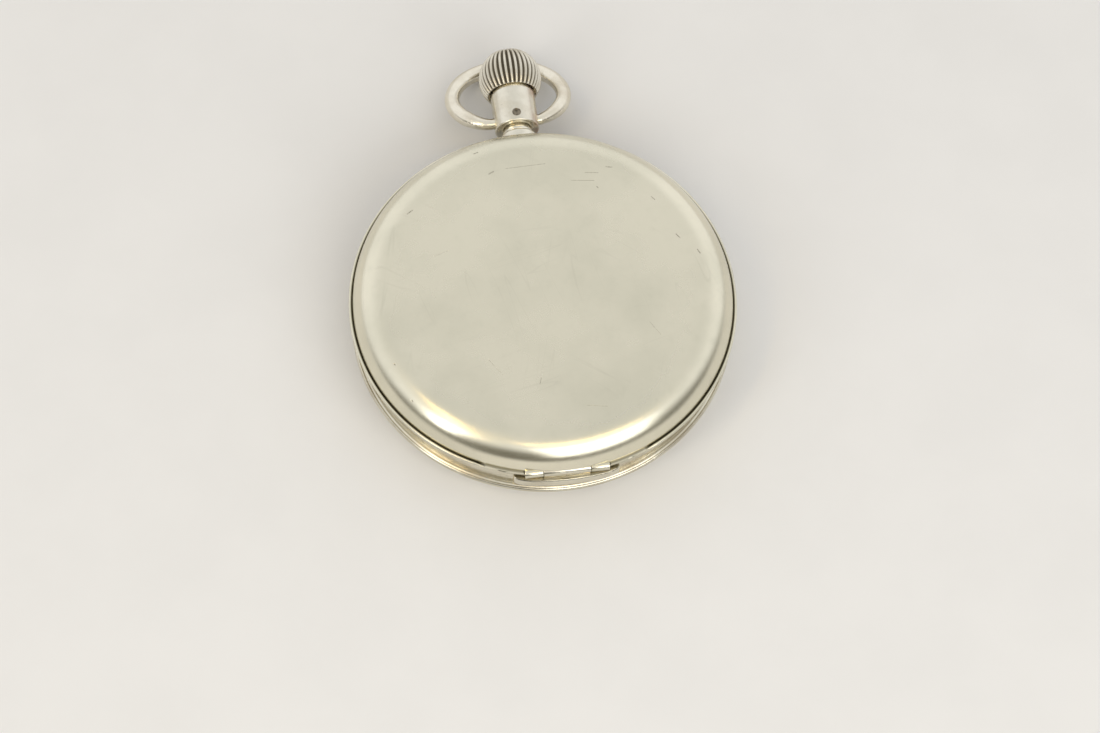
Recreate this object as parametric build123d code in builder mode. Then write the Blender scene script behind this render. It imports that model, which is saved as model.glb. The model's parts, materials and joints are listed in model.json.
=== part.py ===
from build123d import *
from math import atan2, cos, degrees, hypot, radians, sin
import os

os.makedirs("parts", exist_ok=True)

# A pocket stopwatch lying face down. Millimetres, Z up towards the back cover, Y towards the crown.
# The origin is the middle of the bezel's front rim.
# Case
band_radius = 25.0
cover_top = 13.6
cover_dome_rise = 0.45
cover_shoulder_radius = 3.4
cover_step = 0.1
cover_side_radius = band_radius + cover_step
cover_wall = 0.6
cover_rim_wall = 1.1
cover_rim_height = 1.3
bead_reach = 0.9
bead_height = 0.8
band_bottom = 4.2
band_top = 8.6
band_wall = 3.0
band_bore = band_radius - band_wall
rear_spigot_step = 1.3
rear_spigot_radius = band_radius - rear_spigot_step
rear_spigot_height = 0.9
front_spigot_step = 1.6
front_spigot_radius = band_radius - front_spigot_step
front_spigot_bottom = 3.0
ledge_thickness = 0.6
ledge_reach = 0.6
snap_clearance = 0.05
fit_clearance = 0.02
overrun = 1.0
long_overrun = 3.0
edge_turn = 45.0

# Bezel and crystal
bezel_bead_reach = 0.7
bezel_bead_height = 0.8
bezel_shoulder_radius = band_radius
bezel_rim_step = 2.6
bezel_rim_outer = bezel_shoulder_radius - bezel_rim_step
bezel_rim_width = 0.9
bezel_rim_inner = bezel_rim_outer - bezel_rim_width
bezel_lip_step = 0.6
bezel_lip_radius = bezel_rim_inner - bezel_lip_step
bezel_lip_height = 0.5
bezel_step_height = 2.8
crystal_hold = 0.4
crystal_radius = bezel_lip_radius + crystal_hold
crystal_thickness = 1.0
crystal_front = 0.4
crystal_dome_rise = 0.6

# Back cover hinge
hinge_set_back = 0.06
hinge_height = 9.0
knuckle_radius = 0.65
knuckle_gap = 0.08
middle_knuckle_length = 6.2
outer_knuckle_length = 2.4
hinge_pin_radius = 0.3
pin_clearance = 0.02
hinge_zone_width = 21.0
hinge_web_height = 0.6
hinge_web_reach = 1.0
wing_reach = 0.75
wing_bottom = 8.75
wing_thickness = 0.5
bearer_width = 14.0
bearer_reach = 1.3
bearer_bottom = 6.1
bearer_top = 8.1
bearer_web_thickness = 0.8

# Pendant, crown and bow
stem_height = 7.0
neck_tube_radius = 1.3
neck_bore = 0.95
neck_tube_depth = 2.3
neck_inner_end = band_radius - neck_tube_depth
neck_flange_radius = 2.5
neck_flange_thickness = 1.9
neck_flange_end = band_radius + neck_flange_thickness
neck_ring_radius = 2.1
neck_waist_radius = 1.95
notch_clearance = 0.15
sleeve_stand_off = 2.8
sleeve_start = band_radius + sleeve_stand_off
sleeve_length = 6.4
sleeve_end = sleeve_start + sleeve_length
sleeve_radius = 3.08
sleeve_edge = 0.25
sleeve_wall = 0.9
crown_radius = 4.35
crown_overlap = 0.6
crown_base = sleeve_end - crown_overlap
crown_skirt_depth = 2.6
crown_middle = crown_base + crown_skirt_depth
crown_skirt_clearance = 0.2
crown_flutes = 36
flute_depth = 0.32
crown_push = 1.0
push_spare = 0.35
bow_pivot_from_sleeve_end = 1.5
bow_pivot_from_centre = sleeve_start + bow_pivot_from_sleeve_end
bow_tilt = 25.5
bow_wire_radius = 0.95
bow_side_room = 3.35
bow_half_width = crown_radius + bow_side_room
bow_end_room = 2.8
bow_length = crown_middle + crown_radius - bow_pivot_from_centre + bow_end_room
bow_widest_share = 0.505
bow_widest_at = bow_length * bow_widest_share
bow_pivot_radius = 0.7
bow_pivot_depth = 0.7
bow_pivot_clearance = 0.05
pendant_screw_from_sleeve_end = 1.25
pendant_screw_from_centre = sleeve_start + pendant_screw_from_sleeve_end
pendant_screw_radius = 0.6
pendant_screw_slot = 0.22

# Movement heights, from the dial side to the back
plate_front = 4.6
plate_back = 6.2
bridge_bottom = 8.6
barrel_bridge_bottom = 8.3
bridge_top = 9.7
recess_floor = 8.7
plate_step = 0.5
plate_radius = band_bore - plate_step
movement_step = 0.7
movement_radius = plate_radius - movement_step
plate_clearance = 0.2
dial_thickness = 0.4
dial_step = 0.2
dial_radius = movement_radius - dial_step
dial_foot_radius = 0.5
dial_foot_length = 1.0
dial_feet = ((-17.5, 7.0), (14.0, -12.6))
dial_hand_hole = 0.7
minute_hand_bottom = 3.35
sweep_hand_bottom = 2.3
hand_thickness = 0.2
hand_hub_height = 0.35
sweep_hand_reach = 18.6
sweep_hand_tail = 5.2
sweep_hand_half = 0.3
sweep_hub_radius = 1.1
hand_tip_half = 0.1
minute_hand_reach = 4.2
minute_hand_half = 0.28
minute_hub_radius = 0.75

# Wheel centres, seen from the back
seconds_place = (0.0, 0.0)
minute_place = (0.0, 9.5)
third_place = (-4.77, 4.11)
barrel_place = (8.37, 10.2)
escape_place = (1.495, -5.578)
pallet_place = (-1.576, -6.783)
balance_place = (-8.5, -9.5)
crown_wheel_place = (0.0, 15.487)

# Teeth: a module is the pitch diameter divided by the count
tooth_tip_share = 0.22
tooth_root_share = 0.58
tooth_height_share = 0.9
tooth_depth_share = 1.2
barrel_teeth = 72
minute_pinion_leaves = 12
minute_teeth = 60
third_pinion_leaves = 12
third_teeth = 60
seconds_pinion_leaves = 10
seconds_teeth = 70
escape_pinion_leaves = 7
escape_teeth = 15
ratchet_teeth = 42
crown_wheel_teeth = 24
winding_pinion_teeth = 12
barrel_module = 0.2
minute_module = 0.2
third_module = 0.18
seconds_module = 0.15
winding_module = 0.3

# Wheels
wheel_thickness = 0.22
wheel_rim = 0.75
wheel_hub = 1.5
spoke_width = 0.55
spokes = 5
arbor_radius = 0.35
seconds_arbor_radius = 0.45
pivot_radius = 0.15
pivot_play = 0.03
arbor_play = 0.05
shoulder_play = 0.05
works_clearance = 0.1
minute_pinion_span = (6.35, 6.9)
minute_wheel_bottom = 7.85
third_wheel_bottom = 7.1
third_pinion_span = (7.75, 8.25)
seconds_wheel_bottom = 6.4
seconds_pinion_span = (6.95, 7.6)
escape_pinion_span = (6.3, 6.75)
escape_wheel_bottom = 6.95
escape_wheel_radius = 2.6
escape_tooth_depth = 0.6
escape_rim = 0.35
escape_tooth_shares = (0.0, 0.42, 0.58, 0.5)
jewel_radius = 0.75
jewel_height = 0.4

# Barrel and mainspring
barrel_bottom = 5.4
barrel_height = 2.3
barrel_wall_radius = 6.6
barrel_wall = 0.4
barrel_floor = 0.25
barrel_gear_span = (6.4, 6.8)
barrel_recess_clearance = 0.2
lid_thickness = 0.25
lid_play = 0.02
barrel_arbor_core = 1.5
barrel_arbor_radius = 0.8
arbor_square = 1.2
mainspring_thickness = 0.14
mainspring_pitch = 0.62
mainspring_turns = 7
mainspring_start = 1.56
mainspring_side_play = 0.1

# Winding work
winding_wheel_bottom = 8.8
winding_wheel_thickness = 0.6
ratchet_recess = 6.9
crown_wheel_recess = 4.2
winding_pinion_start = 18.78
winding_pinion_length = 0.6
winding_pinion_tip = 1.9
winding_pinion_root = 1.42
stem_square = 0.66
stem_square_play = 0.04
stem_square_start = 18.55
stem_square_end = 20.4
stem_pilot_radius = 0.3
stem_pilot_start = 16.3
stem_rod_radius = 0.5
stem_collar_radius = 1.5
stem_collar_start = 21.1
stem_collar_thickness = 0.6
stem_radius = 0.8
stem_post_start = 16.5
stem_post_length = 1.0
stem_post_width = 2.0
stem_post_top = 7.7
click_place = (17.0, 8.8)
click_tip_angle = 20.0
click_tip_from_teeth = 0.1
click_boss = 1.1
click_thickness = 0.5
click_nose = 0.4
click_spring_place = (18.5, 7.3)
click_spring_bend = (18.35, 10.3)
click_spring_tip = (16.75, 12.0)
spring_half_width = 0.14
spring_boss = 0.6

# Bridges and their feet
barrel_bridge_edge = 6.35
train_bridge_edge = 6.05
barrel_bridge_lobe = 7.6
bridge_gap = 0.3
balance_opening = 8.3
train_bridge_left = -14.4
train_bridge_horn = -3.0
train_bridge_horn_height = -14.0
barrel_feet = ((13.75, 2.37), (4.2, 19.0), (-13.8, 9.6))
barrel_feet_radii = (1.6, 1.15, 1.6)
barrel_foot_lobe = 2.4
train_feet = ((-12.5, 1.5), (16.0, -3.0), (5.0, -15.5))
train_foot_radius = 1.6
cock_foot = (-16.2, -2.2)
cock_foot_radius = 2.4
cock_head_radius = 2.6
cock_bottom = 8.85
pallet_cock_foot = (-0.26, -10.13)
pallet_cock_span = (7.35, 7.95)
pallet_cock_half = 1.15
pallet_cock_head_half = 0.95

# Screws
screw_head_radius = 1.1
screw_head_height = 0.5
screw_radius = 0.5
screw_bottom = 4.95
screw_hole_play = 0.03
slot_width = 0.25
slot_depth = 0.22
small_head_radius = 0.85
small_head_height = 0.35
small_screw_radius = 0.4
case_screw_inset = 1.05
case_screw_from_centre = plate_radius - case_screw_inset
case_screw_angles = (168.0, -32.0)
case_screw_notch = 1.5
ratchet_screw_head = 1.4
crown_screw_head = 1.7
crown_screw_shoulder = 1.2
slot_turn = 30.0
slot_turn_step = 50.0

# Escapement
fork_span = (6.9, 7.2)
fork_half_width = 0.28
fork_notch_width = 0.34
fork_horn = 0.16
fork_horn_length = 0.5
pallet_spread = 36.0
pallet_from_escape = 3.2
pallet_jewel_length = 0.7
pallet_jewel_width = 0.3
pallet_set_back = 0.15
pallet_arm_half = 0.42
roller_radius = 1.3
roller_span = (7.3, 7.5)
impulse_offset = 1.0
impulse_radius = 0.1
impulse_drop = 0.25
balance_rim_outer = 7.05
balance_rim_inner = 6.35
balance_span = (8.05, 8.75)
balance_arm_width = 1.0
balance_arm_height = 0.25
balance_hub = 1.1
balance_screw_count = 14
balance_screw_radius = 0.26
balance_screw_length = 0.42
collet_radius = 0.6
hairspring_span = (8.4, 8.6)
hairspring_thickness = 0.07
hairspring_pitch = 0.42
hairspring_turns = 9
hairspring_start = 0.78
stud_half = 0.3
regulator_inner = 0.95
regulator_outer = 1.7
regulator_thickness = 0.2
regulator_reach = 6.4
regulator_half = 0.3
regulator_swing = -9.0

# Stopwatch works above the bridges
works_bottom = 9.8
lever_thickness = 0.3
upper_works_bottom = 10.2
upper_works_thickness = 0.4
heart_bottom = 10.1
heart_height = 0.6
seconds_heart_radius = 2.2
minute_heart_radius = 1.8
heart_low_share = 0.32
heart_points = 24
column_place = (-10.5, 12.0)
column_teeth = 12
column_ratchet_radius = 1.9
column_ratchet_depth = 0.35
column_ratchet_shares = (0.0, 0.15)
column_count = 6
column_outer = 1.6
column_inner = 0.95
column_top = 10.9
column_bore = 0.5
column_width = 0.62
operating_place = (-7.5, 18.3)
operating_tab_middle = -1.2
operating_tab_width = 1.0
operating_tab_thickness = 0.4
operating_tab_play = 0.05
operating_tab_bottom = 7.3
operating_hook = (-9.75, 14.35)
operating_boss = 1.1
operating_half = 0.6
operating_hook_half = 0.25
hammer_place = (-5.2, 16.3)
hammer_boss = 1.0
hammer_foot = (-4.7, 0.6)
hammer_half = 0.45
hammer_gap_seconds = 0.75
hammer_gap_minute = 0.4
hammer_face_height = 1.6
hammer_head_depth = 0.5
hammer_nose_gap = 0.15
nose_half = 0.28
brake_place = (-9.0, 2.2)
brake_boss = 0.9
brake_half = 0.4
brake_tip_angle = 45.0
brake_pad_radius = 0.2
brake_pad_from_rim = 0.25
brake_pad_bottom = 8.25
jumper_place = (-13.0, 14.9)
jumper_bend = (-13.3, 12.4)
jumper_boss = 0.8
jumper_gap = 0.06
lever_spring_place = (-11.3, 16.4)
lever_spring_tip = (-9.5, 16.75)
hammer_spring_place = (-7.2, 9.6)
hammer_spring_tip = (-5.65, 3.2)

# Values worked out from the sizes above
STANDING = (Align.CENTER, Align.CENTER, Align.MIN)
HANGING = (Align.CENTER, Align.CENTER, Align.MAX)
case_radius = cover_side_radius + bead_reach
hinge_place = -(band_radius + hinge_set_back)
outer_knuckle_start = middle_knuckle_length / 2 + knuckle_gap
pin_length = 2 * (outer_knuckle_start + outer_knuckle_length)
cover_inner_rim = cover_side_radius - cover_rim_wall
bezel_bead_radius = bezel_shoulder_radius + bezel_bead_reach
crystal_edge = crystal_front + crystal_dome_rise
stem_end = crown_middle + push_spare
notch_start = (band_radius**2 - (neck_flange_radius + notch_clearance) ** 2) ** 0.5 - fit_clearance
stem_collar_end = stem_collar_start + stem_collar_thickness
head_seat = bridge_top - screw_head_height
hook_plane_turn = degrees(atan2(cock_foot[1] - balance_place[1], cock_foot[0] - balance_place[0]))


def from_point(place, distance, angle):
    """The point that lies a distance from a place, at an angle in degrees."""
    return (place[0] + distance * cos(radians(angle)), place[1] + distance * sin(radians(angle)))


def line_angle(start, end):
    """The direction in degrees from one place to another."""
    return degrees(atan2(end[1] - start[1], end[0] - start[0]))


def dome_drop(reach, rise):
    """How far a dome has dropped halfway out, when it drops by the rise at the full reach."""
    radius = (reach**2 + rise**2) / (2 * rise)
    return radius - (radius**2 - (reach / 2) ** 2) ** 0.5


def bar(place, radius, bottom, top, mode=Mode.ADD):
    """An upright round bar or hole between two heights."""
    with Locations((place[0], place[1], bottom)):
        Cylinder(radius, top - bottom, align=STANDING, mode=mode)


def arm(start, end, start_half, end_half, mode=Mode.ADD):
    """The plan of a lever arm with round ends, drawn into the open sketch."""
    length = hypot(end[0] - start[0], end[1] - start[1])
    across = (-(end[1] - start[1]) / length, (end[0] - start[0]) / length)
    Polygon(
        (start[0] - across[0] * start_half, start[1] - across[1] * start_half),
        (end[0] - across[0] * end_half, end[1] - across[1] * end_half),
        (end[0] + across[0] * end_half, end[1] + across[1] * end_half),
        (start[0] + across[0] * start_half, start[1] + across[1] * start_half),
        align=None,
        mode=mode,
    )
    with Locations(start):
        Circle(start_half, mode=mode)
    with Locations(end):
        Circle(end_half, mode=mode)


def tooth_points(teeth, root, tip, turn):
    """Corner points of a toothed outline, anticlockwise, with a tooth at the given turn."""
    pitch = 360 / teeth
    points = []
    for number in range(teeth):
        for share, radius in (
            (-tooth_root_share / 2, root),
            (-tooth_tip_share / 2, tip),
            (tooth_tip_share / 2, tip),
            (tooth_root_share / 2, root),
        ):
            angle = radians(turn + (number + share) * pitch)
            points.append((radius * cos(angle), radius * sin(angle)))
    return points


def toothed_disc(place, teeth, module, turn, bottom, top):
    """A gear blank with straight flanks between two heights."""
    pitch_radius = teeth * module / 2
    with BuildSketch(Plane.XY.offset(bottom)) as outline:
        with Locations(place):
            Polygon(
                *tooth_points(
                    teeth,
                    pitch_radius - module * tooth_depth_share,
                    pitch_radius + module * tooth_height_share,
                    turn,
                ),
                align=None,
            )
    extrude(outline.sketch, amount=top - bottom)


def meshed_turn(first, first_teeth, first_turn, second, second_teeth):
    """The turn of a second gear at which its gap faces the tooth of the first."""
    line = line_angle(first, second)
    phase = (line - first_turn) * first_teeth / 360
    return line + 180 + (phase - 1 / 2) * 360 / second_teeth


def spoke_windows(place, hub, rim, count, width, bottom, top, turn=0):
    """Cuts the openings between a wheel's spokes."""
    with BuildSketch(Plane.XY.offset(bottom)) as windows:
        with Locations(place):
            Circle(rim)
            Circle(hub, mode=Mode.SUBTRACT)
            with PolarLocations(rim / 2, count, start_angle=turn):
                Rectangle(rim, width, mode=Mode.SUBTRACT)
    extrude(windows.sketch, amount=top - bottom, mode=Mode.SUBTRACT)


def screw(place, head, height, shank, seat, bottom, slot_turn):
    """A slotted screw whose head stands on a seat and whose shank ends at the bottom."""
    bar(place, head, seat, seat + height)
    bar(place, shank, bottom, seat)
    with Locations(Location((place[0], place[1], seat + height), (0, 0, slot_turn))):
        Box(2 * head + overrun, slot_width, slot_depth, align=HANGING, mode=Mode.SUBTRACT)


def stem_plane(start):
    """The plane square to the stem at a distance from the middle."""
    return Plane(origin=(0, start, stem_height), x_dir=(1, 0, 0), z_dir=(0, 1, 0))


def hinge_plane(start):
    """The plane square to the hinge pin at a distance from the middle."""
    return Plane(origin=(start, hinge_place, hinge_height), x_dir=(0, 1, 0), z_dir=(1, 0, 0))


def lengthwise(start, radius, length, mode=Mode.ADD):
    """A round bar or hole along the stem's line, towards the crown."""
    with BuildSketch(stem_plane(start)) as section:
        Circle(radius)
    extrude(section.sketch, amount=length, mode=mode)


def spiral_strip(centre, turn, start, pitch, turns, thickness, bottom, top):
    """A flat spring wound from half circles, its outer end at the given turn."""
    x_dir = (cos(radians(turn)), sin(radians(turn)), 0)
    with BuildSketch(Plane(origin=(centre[0], centre[1], bottom), x_dir=x_dir, z_dir=(0, 0, 1))) as strip:
        with BuildLine():
            halves = 2 * turns
            for half in range(halves):
                middle = (half % 2) * pitch / 2
                radius = start + half * pitch / 2
                CenterArc((middle, 0), radius, 180 * (half % 2), 180)
                CenterArc((middle, 0), radius + thickness, 180 * (half % 2), 180)
            Line((start, 0), (start + thickness, 0))
            Line((start + turns * pitch, 0), (start + turns * pitch + thickness, 0))
        make_face()
    extrude(strip.sketch, amount=top - bottom)


def save(name, made):
    """Labels a finished piece and writes its file."""
    made.part.label = name
    export_step(made.part, f"parts/{name}.step")


# Back cover
with BuildPart() as rear_cover:
    shoulder_middle = cover_side_radius - cover_shoulder_radius
    shoulder_top = cover_top - cover_dome_rise
    shoulder_height = shoulder_top - cover_shoulder_radius
    half_turn_reach = cover_shoulder_radius * cos(radians(edge_turn))
    inner_reach = (cover_shoulder_radius - cover_wall) * cos(radians(edge_turn))
    bead_root = cover_side_radius - fit_clearance
    bead_top = band_top + bead_height
    inner_top = cover_top - cover_wall
    with BuildSketch(Plane.XZ):
        with BuildLine():
            Line((0, inner_top), (0, cover_top))
            ThreePointArc(
                (0, cover_top),
                (shoulder_middle / 2, cover_top - dome_drop(shoulder_middle, cover_dome_rise)),
                (shoulder_middle, shoulder_top),
            )
            ThreePointArc(
                (shoulder_middle, shoulder_top),
                (shoulder_middle + half_turn_reach, shoulder_height + half_turn_reach),
                (cover_side_radius, shoulder_height),
            )
            Line((cover_side_radius, shoulder_height), (cover_side_radius, band_top))
            Line((cover_side_radius, band_top), (cover_inner_rim, band_top))
            Line((cover_inner_rim, band_top), (cover_inner_rim, band_top + cover_rim_height))
            Line(
                (cover_inner_rim, band_top + cover_rim_height),
                (cover_side_radius - cover_wall, shoulder_height + cover_wall),
            )
            ThreePointArc(
                (cover_side_radius - cover_wall, shoulder_height + cover_wall),
                (shoulder_middle + inner_reach, shoulder_height + inner_reach),
                (shoulder_middle, shoulder_top - cover_wall),
            )
            ThreePointArc(
                (shoulder_middle, shoulder_top - cover_wall),
                (shoulder_middle / 2, inner_top - dome_drop(shoulder_middle, cover_dome_rise)),
                (0, inner_top),
            )
        make_face()
    revolve(axis=Axis.Z)
    with BuildSketch(Plane.XZ):
        with BuildLine():
            Line((bead_root, band_top), (cover_side_radius, band_top))
            ThreePointArc(
                (cover_side_radius, band_top),
                (case_radius, band_top + bead_height / 2),
                (cover_side_radius, bead_top),
            )
            Line((cover_side_radius, bead_top), (bead_root, bead_top))
            Line((bead_root, bead_top), (bead_root, band_top))
        make_face()
    revolve(axis=Axis.Z)
    # The bead ends beside the hinge and beside the pendant's flange
    with BuildSketch(Plane.XY.offset(band_top - overrun)):
        Circle(case_radius + overrun)
        Circle(cover_side_radius, mode=Mode.SUBTRACT)
        with Locations((0, -case_radius)):
            Rectangle(hinge_zone_width, case_radius / 2, mode=Mode.INTERSECT)
    extrude(amount=bead_height + overrun * 2, mode=Mode.SUBTRACT)
    lengthwise(notch_start, neck_flange_radius + notch_clearance, long_overrun, Mode.SUBTRACT)
    # Room for the middle knuckle
    with BuildSketch(hinge_plane(-outer_knuckle_start)):
        Circle(knuckle_radius + knuckle_gap)
    extrude(amount=2 * outer_knuckle_start, mode=Mode.SUBTRACT)
    # Outer knuckles, each on a short web, with the pin's bore
    for side in (-1, 1):
        knuckle_middle = side * (outer_knuckle_start + outer_knuckle_length / 2)
        with BuildSketch(hinge_plane(knuckle_middle - outer_knuckle_length / 2)):
            Circle(knuckle_radius)
            with Locations((0, hinge_web_height / 2)):
                Rectangle(hinge_web_reach, hinge_web_height, align=(Align.MIN, Align.CENTER))
        extrude(amount=outer_knuckle_length)
    with BuildSketch(hinge_plane(-pin_length / 2 - fit_clearance)):
        Circle(hinge_pin_radius + pin_clearance)
    extrude(amount=pin_length + 2 * fit_clearance, mode=Mode.SUBTRACT)
    # Flat wings between the knuckles and the ends of the bead
    with BuildSketch(Plane.XY.offset(wing_bottom)):
        Circle(cover_side_radius + wing_reach)
        Circle(cover_side_radius - fit_clearance, mode=Mode.SUBTRACT)
        with Locations((0, -case_radius)):
            Rectangle(hinge_zone_width, case_radius / 2, mode=Mode.INTERSECT)
            Rectangle(pin_length, case_radius / 2, mode=Mode.SUBTRACT)
    extrude(amount=wing_thickness)
save("rear_cover", rear_cover)

# Band between the back cover and the bezel
with BuildPart() as case_band:
    with BuildSketch(Plane.XZ):
        with BuildLine():
            Polyline(
                (plate_radius + plate_clearance, front_spigot_bottom),
                (front_spigot_radius, front_spigot_bottom),
                (front_spigot_radius, band_bottom),
                (band_radius, band_bottom),
                (band_radius, band_top),
                (rear_spigot_radius, band_top),
                (rear_spigot_radius, band_top + rear_spigot_height),
                (band_bore, band_top + rear_spigot_height),
                (band_bore, plate_back + ledge_thickness),
                (plate_radius - ledge_reach + plate_clearance, plate_back + ledge_thickness),
                (plate_radius - ledge_reach + plate_clearance, plate_back),
                (plate_radius + plate_clearance, plate_back),
                close=True,
            )
        make_face()
    revolve(axis=Axis.Z)
    # Crescent bearer under the hinge, with the web of the middle knuckle
    with BuildSketch(Plane.XY.offset(bearer_bottom)):
        with Locations((0, -band_radius)):
            Ellipse(bearer_width / 2, bearer_reach)
        Circle(band_radius - ledge_thickness, mode=Mode.SUBTRACT)
    extrude(amount=bearer_top - bearer_bottom)
    with BuildSketch(hinge_plane(-middle_knuckle_length / 2)):
        Circle(knuckle_radius)
        web_height = hinge_height - bearer_top + fit_clearance
        Rectangle(bearer_web_thickness, web_height, align=(Align.CENTER, Align.MAX))
        Circle(hinge_pin_radius + pin_clearance, mode=Mode.SUBTRACT)
    extrude(amount=middle_knuckle_length)
    # Room for the outer knuckles
    room_length = outer_knuckle_length + 2 * knuckle_gap
    for side in (-1, 1):
        room_middle = side * (outer_knuckle_start + outer_knuckle_length / 2)
        with BuildSketch(hinge_plane(room_middle - room_length / 2)):
            Circle(knuckle_radius + knuckle_gap)
        extrude(amount=room_length, mode=Mode.SUBTRACT)
    # Bore for the pendant's tube and room for the stem's collar
    lengthwise(band_bore - overrun, neck_tube_radius + fit_clearance, band_radius, Mode.SUBTRACT)
    collar_room = stem_collar_end + arbor_play - stem_collar_start + crown_push
    lengthwise(
        stem_collar_start - crown_push, stem_collar_radius + notch_clearance, collar_room, Mode.SUBTRACT
    )
save("case_band", case_band)

# Hinge pin
with BuildPart() as hinge_pin:
    with BuildSketch(hinge_plane(-pin_length / 2)):
        Circle(hinge_pin_radius)
    extrude(amount=pin_length)
save("hinge_pin", hinge_pin)

# Bezel that snaps over the band
with BuildPart() as bezel:
    bead_low = band_bottom - bezel_bead_height
    with BuildSketch(Plane.XZ):
        with BuildLine():
            Line((front_spigot_radius + snap_clearance, band_bottom), (bezel_shoulder_radius, band_bottom))
            ThreePointArc(
                (bezel_shoulder_radius, band_bottom),
                (bezel_bead_radius, band_bottom - bezel_bead_height / 2),
                (bezel_shoulder_radius, bead_low),
            )
            TangentArc((bezel_shoulder_radius, bead_low), (bezel_rim_outer, 0), tangent=(0, -1))
            Polyline(
                (bezel_rim_outer, 0),
                (bezel_rim_inner, 0),
                (bezel_lip_radius, bezel_lip_height),
                (bezel_lip_radius, crystal_edge),
                (crystal_radius + snap_clearance, crystal_edge),
                (crystal_radius + snap_clearance, crystal_edge + crystal_thickness),
                (bezel_lip_radius, crystal_edge + crystal_thickness),
                (bezel_lip_radius, bezel_step_height),
                (front_spigot_radius + snap_clearance, bezel_step_height),
                (front_spigot_radius + snap_clearance, band_bottom),
            )
        make_face()
    revolve(axis=Axis.Z)
save("bezel", bezel)

# Watch glass, a shallow dome with a flat edge held in the bezel's groove
with BuildPart() as crystal:
    dome_reach = bezel_lip_radius - snap_clearance
    dome_middle = crystal_front + dome_drop(dome_reach, crystal_dome_rise)
    with BuildSketch(Plane.XZ):
        with BuildLine():
            Line((0, crystal_front + crystal_thickness), (0, crystal_front))
            ThreePointArc((0, crystal_front), (dome_reach / 2, dome_middle), (dome_reach, crystal_edge))
            Polyline(
                (dome_reach, crystal_edge),
                (crystal_radius, crystal_edge),
                (crystal_radius, crystal_edge + crystal_thickness),
                (dome_reach, crystal_edge + crystal_thickness),
            )
            ThreePointArc(
                (dome_reach, crystal_edge + crystal_thickness),
                (dome_reach / 2, dome_middle + crystal_thickness),
                (0, crystal_front + crystal_thickness),
            )
        make_face()
    revolve(axis=Axis.Z)
save("crystal", crystal)

# Pendant neck: flange and ring outside the band, tube through it
with BuildPart() as pendant_neck:
    ring_middle = (neck_flange_end + sleeve_start) / 2
    with BuildSketch(Plane.XY.offset(stem_height)):
        with BuildLine():
            Polyline(
                (neck_bore, band_radius - overrun),
                (neck_flange_radius, band_radius - overrun),
                (neck_flange_radius, neck_flange_end - notch_clearance),
                (neck_flange_radius - notch_clearance, neck_flange_end),
                (neck_waist_radius, neck_flange_end),
            )
            ThreePointArc(
                (neck_waist_radius, neck_flange_end),
                (neck_ring_radius + notch_clearance, ring_middle),
                (neck_waist_radius, sleeve_start),
            )
            Polyline(
                (neck_waist_radius, sleeve_start),
                (neck_bore, sleeve_start),
                (neck_bore, band_radius - overrun),
            )
        make_face()
    revolve(axis=Axis((0, 0, stem_height), (0, 1, 0)))
    bar((0, 0), band_radius + fit_clearance, 0, cover_top, Mode.SUBTRACT)
    lengthwise(neck_inner_end, neck_tube_radius, neck_flange_end - neck_inner_end)
    lengthwise(neck_inner_end, neck_bore, sleeve_start - neck_inner_end, Mode.SUBTRACT)
save("pendant_neck", pendant_neck)

# Pendant sleeve, with holes for the bow's ends and the set screw
with BuildPart() as pendant_sleeve:
    with BuildSketch(Plane.XY.offset(stem_height)):
        with BuildLine():
            Polyline(
                (neck_bore, sleeve_start),
                (sleeve_radius - sleeve_edge, sleeve_start),
                (sleeve_radius, sleeve_start + sleeve_edge),
                (sleeve_radius, sleeve_end - sleeve_edge),
                (sleeve_radius - sleeve_edge, sleeve_end),
                (neck_bore, sleeve_end),
                close=True,
            )
        make_face()
    revolve(axis=Axis((0, 0, stem_height), (0, 1, 0)))
    for side in (-1, 1):
        bow_hole_start = side * (sleeve_radius - bow_pivot_depth - bow_pivot_clearance)
        hole_origin = (bow_hole_start, bow_pivot_from_centre, stem_height)
        with BuildSketch(Plane(origin=hole_origin, z_dir=(side, 0, 0))):
            Circle(bow_pivot_radius + bow_pivot_clearance)
        extrude(amount=overrun + bow_pivot_depth, mode=Mode.SUBTRACT)
    bar(
        (0, pendant_screw_from_centre),
        pendant_screw_radius + fit_clearance,
        stem_height + sleeve_radius - sleeve_wall,
        stem_height + sleeve_radius + overrun,
        Mode.SUBTRACT,
    )
save("pendant_sleeve", pendant_sleeve)

# Set screw in the sleeve, its slot along the pendant
with BuildPart() as pendant_screw:
    screw_low = stem_height + sleeve_radius - sleeve_wall
    bar((0, pendant_screw_from_centre), pendant_screw_radius, screw_low, stem_height + sleeve_radius)
    with Locations((0, pendant_screw_from_centre, stem_height + sleeve_radius)):
        slot_length = 2 * pendant_screw_radius + overrun
        Box(pendant_screw_slot, slot_length, pendant_screw_slot, align=HANGING, mode=Mode.SUBTRACT)
save("pendant_screw", pendant_screw)

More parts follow.
